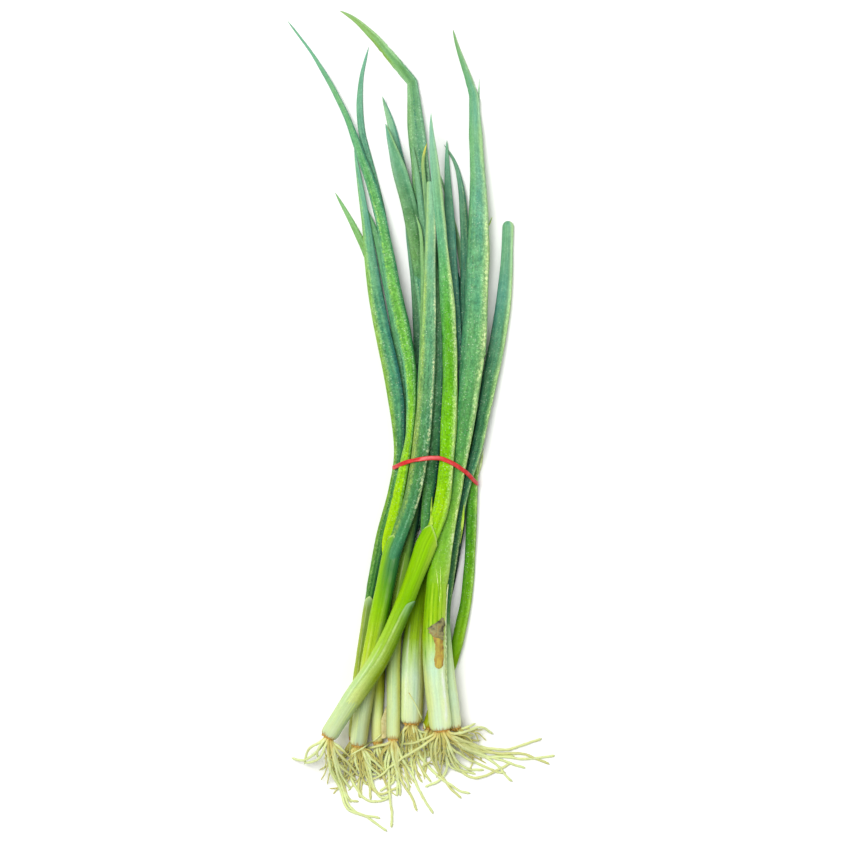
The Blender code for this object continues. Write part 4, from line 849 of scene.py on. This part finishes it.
def thin_patch(name, run, along, turns, proud, thickness, skin, points_across=25):
    """A thin closed skin over part of a tube: turns gives its two edges at each distance along."""
    share = np.linspace(0, 1, points_across)
    turn = turns[:, :1] + (turns[:, 1:] - turns[:, :1]) * share
    rise = proud(along[:, None], share)
    outer = on_tube(run, along[:, None], turn, rise)
    inner = on_tube(run, along[:, None], turn, rise - thickness)
    rings = np.roll(np.concatenate([outer, inner[:, ::-1]], axis=1)[:, ::-1], -points_across // 2, axis=1)
    return closed_skin(name, rings, (along - along[0]) / (along[-1] - along[0]), skin)


def rounded_end(left, over):
    """From 0 at the end of a patch to 1 where the end no longer rounds it."""
    return np.sqrt(np.clip(1 - (1 - left / over).clip(0, 1) ** 2, 0, 1))


def sheath_rise(at, s):
    """How far the torn sheath stands off its stem: fused at its foot, wavy, and curling up at its end."""
    wavy = 0.34 + 0.12 * np.sin(9 * s + 60 * at) * s * (1 - s) * 4
    fused = 0.6 * (1 - smooth((at - torn_from) / (26 * MM)))
    return MM * (wavy - fused + 0.3 * smooth((at - torn_to + 6 * MM) / (6 * MM)))


torn_from, torn_to = 10 * MM, collar_at[1] - 36.5 * MM
along = np.linspace(torn_from, torn_to, 110)
share = (along - torn_from) / (torn_to - torn_from)
left_edge = np.interp(share, [0, 0.25, 0.6, 0.85, 0.95, 1], [0.6, 0.57, 0.53, 0.505, 0.465, 0.42])
left_edge = left_edge + 0.006 * wander(2, along, 0.04)
right_edge = 0.1 + 0.03 * share + 0.1 * smooth((share - 0.86) / 0.14)
rounded = rounded_end(torn_to - along, 4.5 * MM)[:, None]
turns = 0.3 + (np.column_stack([left_edge, right_edge]) - 0.3) * rounded
# The right side of the torn sheath, its lower side, is painted lighter to make up for the shade under it.
sheath_tones = (
    {0: "#CFDEAE", 0.2: "#B0C268", 0.4: "#849E1C", 0.65: "#74980C", 0.85: "#64921C", 0.95: "#5F963C",
     1: "#84B47C"},
    {0: "#DCEFC0", 0.2: "#CCE0A0", 0.4: "#AFC862", 0.65: "#94B63C", 0.85: "#80AE3C", 1: "#9CC994"},
    {0: "#CBD8A0", 0.2: "#BCCB62", 0.4: "#9AB424", 0.65: "#809E14", 0.85: "#5C8E20", 1: "#559654"})
sheath_folds = [(0.69, 0.69, 0.04, "#BCD884", 0.7, 0, 0.97), (0.42, 0.43, 0.05, "#6A8C08", 0.7),
                (0.33, 0.35, 0.04, "#5F7A0A", 0.7), (0.5, 0.52, 0.015, "#8A7A1C", 0.4, 0.3, 0.7)]
sheath_skin = living_skin("torn green sheath", torn_to - torn_from, 24 * MM, sheath_tones, 5.1, sheath_folds,
                          vein=0.16, grain=0.08, bloom=0.0, glints=0.2)
torn = thin_patch("torn_sheath_1", runs[1], along, turns, sheath_rise, 0.22 * MM, sheath_skin)
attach(torn, "root")
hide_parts("shallot_1_torn_sheath")


def papery(name, stops, seed):
    """Withered onion skin: thin dry paper, dull, ribbed by veins 1 mm apart and darker where it rotted."""
    made, tree, shader = new_material(name)
    solid = add(tree, "TexCoord").outputs["Object"]
    along = add(tree, "VectorMath", {0: solid, 1: (900, 130, 900), 2: (seed, 0, 0)}, operation="MULTIPLY_ADD")
    ribs = add(tree, "TexNoise", {"Vector": along, "Scale": 1.0, "Detail": 3.0})
    patches = add(tree, "TexNoise", {"Vector": solid, "Scale": 260.0, "Detail": 4.0, "Roughness": 0.65})
    tone = add(tree, "ValToRGB", {"Fac": patches}, stops)
    light = add(tree, "MapRange", {"Value": ribs, "From Min": 0.3, "From Max": 0.7, "To Min": 0.75,
                                   "To Max": 1.15})
    tone = add(tree, "VectorMath", {0: tone, 1: light}, operation="MULTIPLY")
    bump = add(tree, "Bump", {"Height": ribs, "Strength": 0.8, "Distance": 0.15 * MM})
    fill(tree, shader, {"Base Color": tone, "Normal": bump, "Roughness": 0.6, "IOR": 1.45})
    return made


run = runs[7]
ochre = papery("ochre papery skin", {0.3: "#8A6A2C", 0.45: "#AE8C36", 0.6: "#B9A83E", 0.72: "#A9862F"}, 1.0)
brown = papery("rotted brown skin", {0.36: "#4A4426", 0.46: "#75714A", 0.56: "#8F8A54", 0.68: "#8A6A34"}, 2.0)
# The two patches of dry skin: where they start and end in mm up the stem, the turns of their left and
# right edges from end to end, how wavy they are, and their look.
dry_patches = {
    "dry_skin_7": ((37, 59.5), ([0.5, 0.505, 0.5, 0.49, 0.485, 0.5, 0.52, 0.51],
                                [0.385, 0.375, 0.365, 0.36, 0.365, 0.37, 0.365, 0.37]), 0.12, ochre),
    "dry_skin_top_7": ((54, 67.5), (
        [0.4, 0.43, 0.52, 0.54, 0.585, 0.56, 0.595, 0.565, 0.53, 0.49, 0.46, 0.42, 0.39],
        [0.37, 0.36, 0.38, 0.355, 0.365, 0.37, 0.35, 0.355, 0.345, 0.35, 0.345, 0.355, 0.37]), 0.6, brown),
}
patch_rings = 56
for name, (ends, edges, wave, look) in dry_patches.items():
    along = np.linspace(*ends, patch_rings) * MM
    share = np.linspace(0, 1, patch_rings)
    turns = np.column_stack([np.interp(share, np.linspace(0, 1, len(edge)), edge) for edge in edges])
    turns += 0.006 * np.column_stack([wander(3, along, 0.006), wander(4, along, 0.005)])
    if look is ochre:
        rounded = np.maximum(rounded_end(along - along[0], 3 * MM), math.sqrt(0.002))[:, None]
        turns = turns.mean(axis=1, keepdims=True) * (1 - rounded) + turns * rounded
    patch = thin_patch(name, run, along, turns,
                       lambda at, s: MM * (0.3 + wave * np.sin(7 * s + 900 * at) * 0.35 + wave * 0.6),
                       0.16 * MM, look)
    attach(patch, "root")
    if look is ochre:
        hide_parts("shallot_7_dry_skin")


def strip_rise(at, s):
    """How far the pale strip stands off its stem: crinkled below and flat above."""
    crinkled = 0.16 * np.sin(5 * s + 2200 * at) + 0.12 * np.sin(1300 * at)
    return MM * (0.35 + smooth((66 * MM - at) / (14 * MM)) * crinkled)


pale_paper = papery("pale crinkled skin", {0.35: "#B9CC7C", 0.5: "#D6E8A6", 0.65: "#EAF6C9"}, 4.0)
along = np.linspace(24, 88, 90) * MM
turns = np.column_stack([0.315 + 0.012 * wander(8, along, 0.006), 0.262 + 0.01 * wander(9, along, 0.008)])
strip = thin_patch("pale_strip_7", run, along, turns, strip_rise, 0.14 * MM, pale_paper, 9)
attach(strip, "root")


# ---- Loose threads -------------------------------------------------------------------------------
# Narrow strips that tore off when the bunch was pulled: the membrane at the mouth of a stem, split edges
# of leaves, raised veins and a few stray roots. Each lies on whatever leaf or stem is under it.

def top_of(place):
    """How high the stems and leaves reach at a place on the table."""
    highest = 0.0
    for run in tubes.values():
        gap = place - run[:, 1:3]
        i = np.argmin((gap**2).sum(axis=1))
        side = abs(gap[i] @ run[i, 4:6]) / run[i, WIDE]
        if side < 1 and np.linalg.norm(gap[i]) < run[i, WIDE] + ROW_STEP:
            highest = max(highest, run[i, 3] + run[i, HIGH] * math.sqrt(1 - side**2))
    return highest


lime_paper = papery("split lime leaf edge", {0.35: "#8CBC1A", 0.5: "#A9D22E", 0.65: "#C6E25A"}, 7.0)
mint_paper = papery("split grey-green leaf edge", {0.35: "#7FB28C", 0.5: "#98C89A", 0.65: "#B4DAB0"}, 8.0)
vein_paper = papery("pale raised vein", {0.4: "#98C828", 0.5: "#B4D850", 0.6: "#D6EC8C"}, 9.0)
peeled = papery("peeling tan skin", {0.35: "#C2B470", 0.5: "#D3CC90", 0.68: "#D8B878"}, 6.0)
# Each thread: its points in mm right of the middle of the bunch and towards the tips, its half widths from
# end to end and half thickness in mm, how far it rides above what is under it, its look, and the least
# height in mm of what is under it.
threads = {
    "mouth_membrane_1": ([(6, -62), (6.2, -56), (6.1, -50), (6.5, -45.5)], (1.1, 0.8, 0.5, 0.15),
                         0.12, 0.4, lime_paper, 0),
    "split_edge_7": ([(23.3, -73.5), (24.3, -65), (25.2, -57), (25.6, -50.5)], (0.2, 0.8, 0.8, 0.2),
                     0.2, 0.2, lime_paper, 0),
    "split_edge_8": ([(33.9, -33.5), (35.4, -28), (36.6, -22), (37.4, -17)], (0.2, 0.9, 0.7, 0.15),
                     0.15, 1.0, pale_paper, 0),
    "split_tip_7": ([(34.7, 176), (34.6, 184), (34.5, 192), (34.7, 199), (34.8, 205.3)],
                    (0.1, 0.45, 0.65, 0.45, 0.1), 0.25, -0.2, mint_paper, 0),
    "dry_curl_7": ([(40.6, 117), (42.0, 119.4), (41.8, 121.4), (42.6, 122)], (0.3, 0.4, 0.35, 0.1),
                   0.2, 0.2, lime_paper, 0),
    "vein_7_a": ([(11.3, -112), (10.6, -102), (9.4, -92), (8, -84)], (0.08, 0.2, 0.2, 0.05),
                 0.08, 0.0, vein_paper, 0),
    "vein_7_b": ([(11.6, -113), (11.7, -102), (11.6, -92), (11.2, -84)], (0.08, 0.25, 0.2, 0.05),
                 0.08, 0.0, vein_paper, 0),
    "peeled_flap_4": ([(-22.6, -190.5), (-23.3, -186), (-22.2, -179), (-20.9, -171)], (1.9, 3.1, 1.7, 0.1),
                      0.1, 0.2, peeled, 5.6),
    "stray_root_6": ([(-7.4, -162.5), (-3, -170), (0.6, -178.5), (2.4, -184.5)], (0.2, 0.35, 0.45, 0.5),
                     0.35, 0.2, root_look, 0),
    "stray_root_4": ([(-22.8, -186.5), (-27, -190.8), (-33, -194.5), (-41.5, -199.3)], (0.3, 0.45, 0.5, 0.4),
                     0.4, 0.2, root_look, 0),
}
thread_sides = 10
for name, (line, widths, thick, above, look, least) in threads.items():
    rows = np.column_stack([np.array(line, float), np.zeros(len(line)), widths]) * MM
    rows = evenly(rows, 0.8 * MM)
    rows = eased(rows, min(6, len(rows) - 2))
    height = np.array([[max(top_of(row[:2]), least * MM) + (above + thick) * MM] for row in rows])
    rows[:, 2] = np.maximum(eased(height, 2)[:, 0], thick * MM)
    run = run_along(np.column_stack([rows, np.full(len(rows), thick * MM)]))
    share = run[:, GONE] / run[-1, GONE]
    rings = on_tube(run, run[:, :1], np.arange(thread_sides) / thread_sides)
    thread = closed_skin(name, rings, share, look)
    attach(thread, "root")


# ---- Rubber band ---------------------------------------------------------------------------------
# One moulded red rubber band, stretched once round the bunch just above the stems. It is cut from a
# thin-walled tube, so its section is a flat oblong with soft corners.

def rubber(name):
    """Stretched rubber, half glossy, with a fine dust on it that makes its red uneven 2 mm at a time."""
    made, tree, shader = new_material(name)
    solid = add(tree, "TexCoord").outputs["Object"]
    dust = add(tree, "TexNoise", {"Vector": solid, "Scale": 500.0, "Detail": 3.0})
    tone = add(tree, "ValToRGB", {"Fac": dust}, {0.3: "#B8121C", 0.75: "#DE342E"})
    bump = add(tree, "Bump", {"Height": dust, "Strength": 0.4, "Distance": 0.08 * MM})
    fill(tree, shader, {"Base Color": tone, "Normal": bump, "Roughness": 0.38, "IOR": 1.52})
    return made


band_half_width, band_half_thick = 1.3 * MM, 0.55 * MM
band_rings, band_sides = 360, 28
taut = 60  # how many times its line is evened, because rubber under tension has no kinks
tucked_in = 0.955  # its width as a share of its solid's, so that it lies close on the leaves at its sides


def round_the_bunch(points):
    """The angle at which each point stands round the middle of the bunch, which is twice as wide as high."""
    return np.arctan2(points[:, 2] - middle[2], (points[:, 0] - middle[0]) * 0.5)


points = np.array([corner.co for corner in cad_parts["rubber_band"].data.vertices])
middle = (points.min(axis=0) + points.max(axis=0)) / 2
stands = round_the_bunch(points)
line = []
for turn in np.linspace(-math.pi, math.pi, band_rings, endpoint=False):
    near = np.exp(-(((stands - turn + math.pi) % FULL_TURN - math.pi) / 0.08) ** 2)
    line.append((points * near[:, None]).sum(axis=0) / near.sum())
line = np.array(line)
line[:, 0] = middle[0] + (line[:, 0] - middle[0]) * tucked_in
for _ in range(taut):
    line = (np.roll(line, 1, axis=0) + 2 * line + np.roll(line, -1, axis=0)) / 4
ahead = unit(np.roll(line, -1, axis=0) - np.roll(line, 1, axis=0))
out = unit(np.cross(ahead, np.array([0, 1.0, 0])))
flat = np.cross(out, ahead)
angle = np.arange(band_sides) / band_sides * FULL_TURN
x = np.sign(np.cos(angle)) * np.abs(np.cos(angle)) ** 0.5 * band_half_width
z = np.sign(np.sin(angle)) * np.abs(np.sin(angle)) ** 0.65 * band_half_thick
# It twists a little where it was stretched over the left side.
twist = (0.7 * np.exp(-((round_the_bunch(line) - 2.25) / 0.25) ** 2))[:, None]
x, z = np.cos(twist) * x - np.sin(twist) * z, np.sin(twist) * x + np.cos(twist) * z
rings = line[:, None] + flat[:, None] * x[..., None] + out[:, None] * z[..., None]
rings[..., 2] = np.maximum(rings[..., 2], 0.02 * MM)
here = np.arange(band_rings * band_sides).reshape(band_rings, band_sides)
beside, beyond = np.roll(here, -1, axis=1), np.roll(here, -1, axis=0)
quads = np.stack([here, beside, np.roll(beyond, -1, axis=1), beyond], axis=-1).reshape(-1, 4)
mesh = bpy.data.meshes.new("red_rubber_band")
mesh.from_pydata(rings.reshape(-1, 3).tolist(), [], quads.tolist())
band = put("red_rubber_band", mesh, rubber("moulded red rubber"))
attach(band, "root")
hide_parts("rubber_band")


# ---- Table, light and camera ---------------------------------------------------------------------
# The bunch lies on a plain white table under one broad soft light and a weak one from the other side, and
# is seen from straight above.

# Matt white laminate, pressed smooth: it scatters light evenly and has hardly any gloss.
white, tree, shader = new_material("matt white laminate")
fill(tree, shader, {"Base Color": linear("#F7F7F5"), "Roughness": 0.8, "Specular IOR Level": 0.2})
table_mesh = bpy.data.meshes.new("table")
table_mesh.from_pydata([(-3, -3, 0), (3, -3, 0), (3, 3, 0), (-3, 3, 0)], [], [(0, 1, 2, 3)])
table_mesh.materials.append(white)
table = bpy.data.objects.new("table", table_mesh)
bpy.context.scene.collection.objects.link(table)

for name, size, power, place in (("softbox", 1.6, 50, (-0.7, 0.5, 2.0)), ("fill", 1.4, 10, (1.2, -0.6, 1.6))):
    light = bpy.data.lights.new(name, "AREA")
    light.shape = "DISK"
    light.size = size
    light.energy = power
    lamp = bpy.data.objects.new(name, light)
    lamp.location = place
    lamp.rotation_euler = Vector([-part for part in place]).to_track_quat("-Z", "Y").to_euler()
    bpy.context.scene.collection.objects.link(lamp)
world = bpy.data.worlds.new("room")
world.use_nodes = True
fill(world.node_tree, world.node_tree.nodes["Background"], {"Color": (1, 1, 1, 1), "Strength": 0.3})
bpy.context.scene.world = world
bpy.context.scene.view_settings.view_transform = "Standard"

CAMERA_HEIGHT = 3.0
SEEN_WIDTH = 0.5052  # the width of table that the camera takes in
SENSOR = 36
camera_data = bpy.data.cameras.new("camera")
camera_data.sensor_width = SENSOR
camera_data.lens = SENSOR * CAMERA_HEIGHT / SEEN_WIDTH
camera = bpy.data.objects.new("camera", camera_data)
camera.location = (-0.00007, -0.00025, CAMERA_HEIGHT)
bpy.context.scene.collection.objects.link(camera)
bpy.context.scene.camera = camera
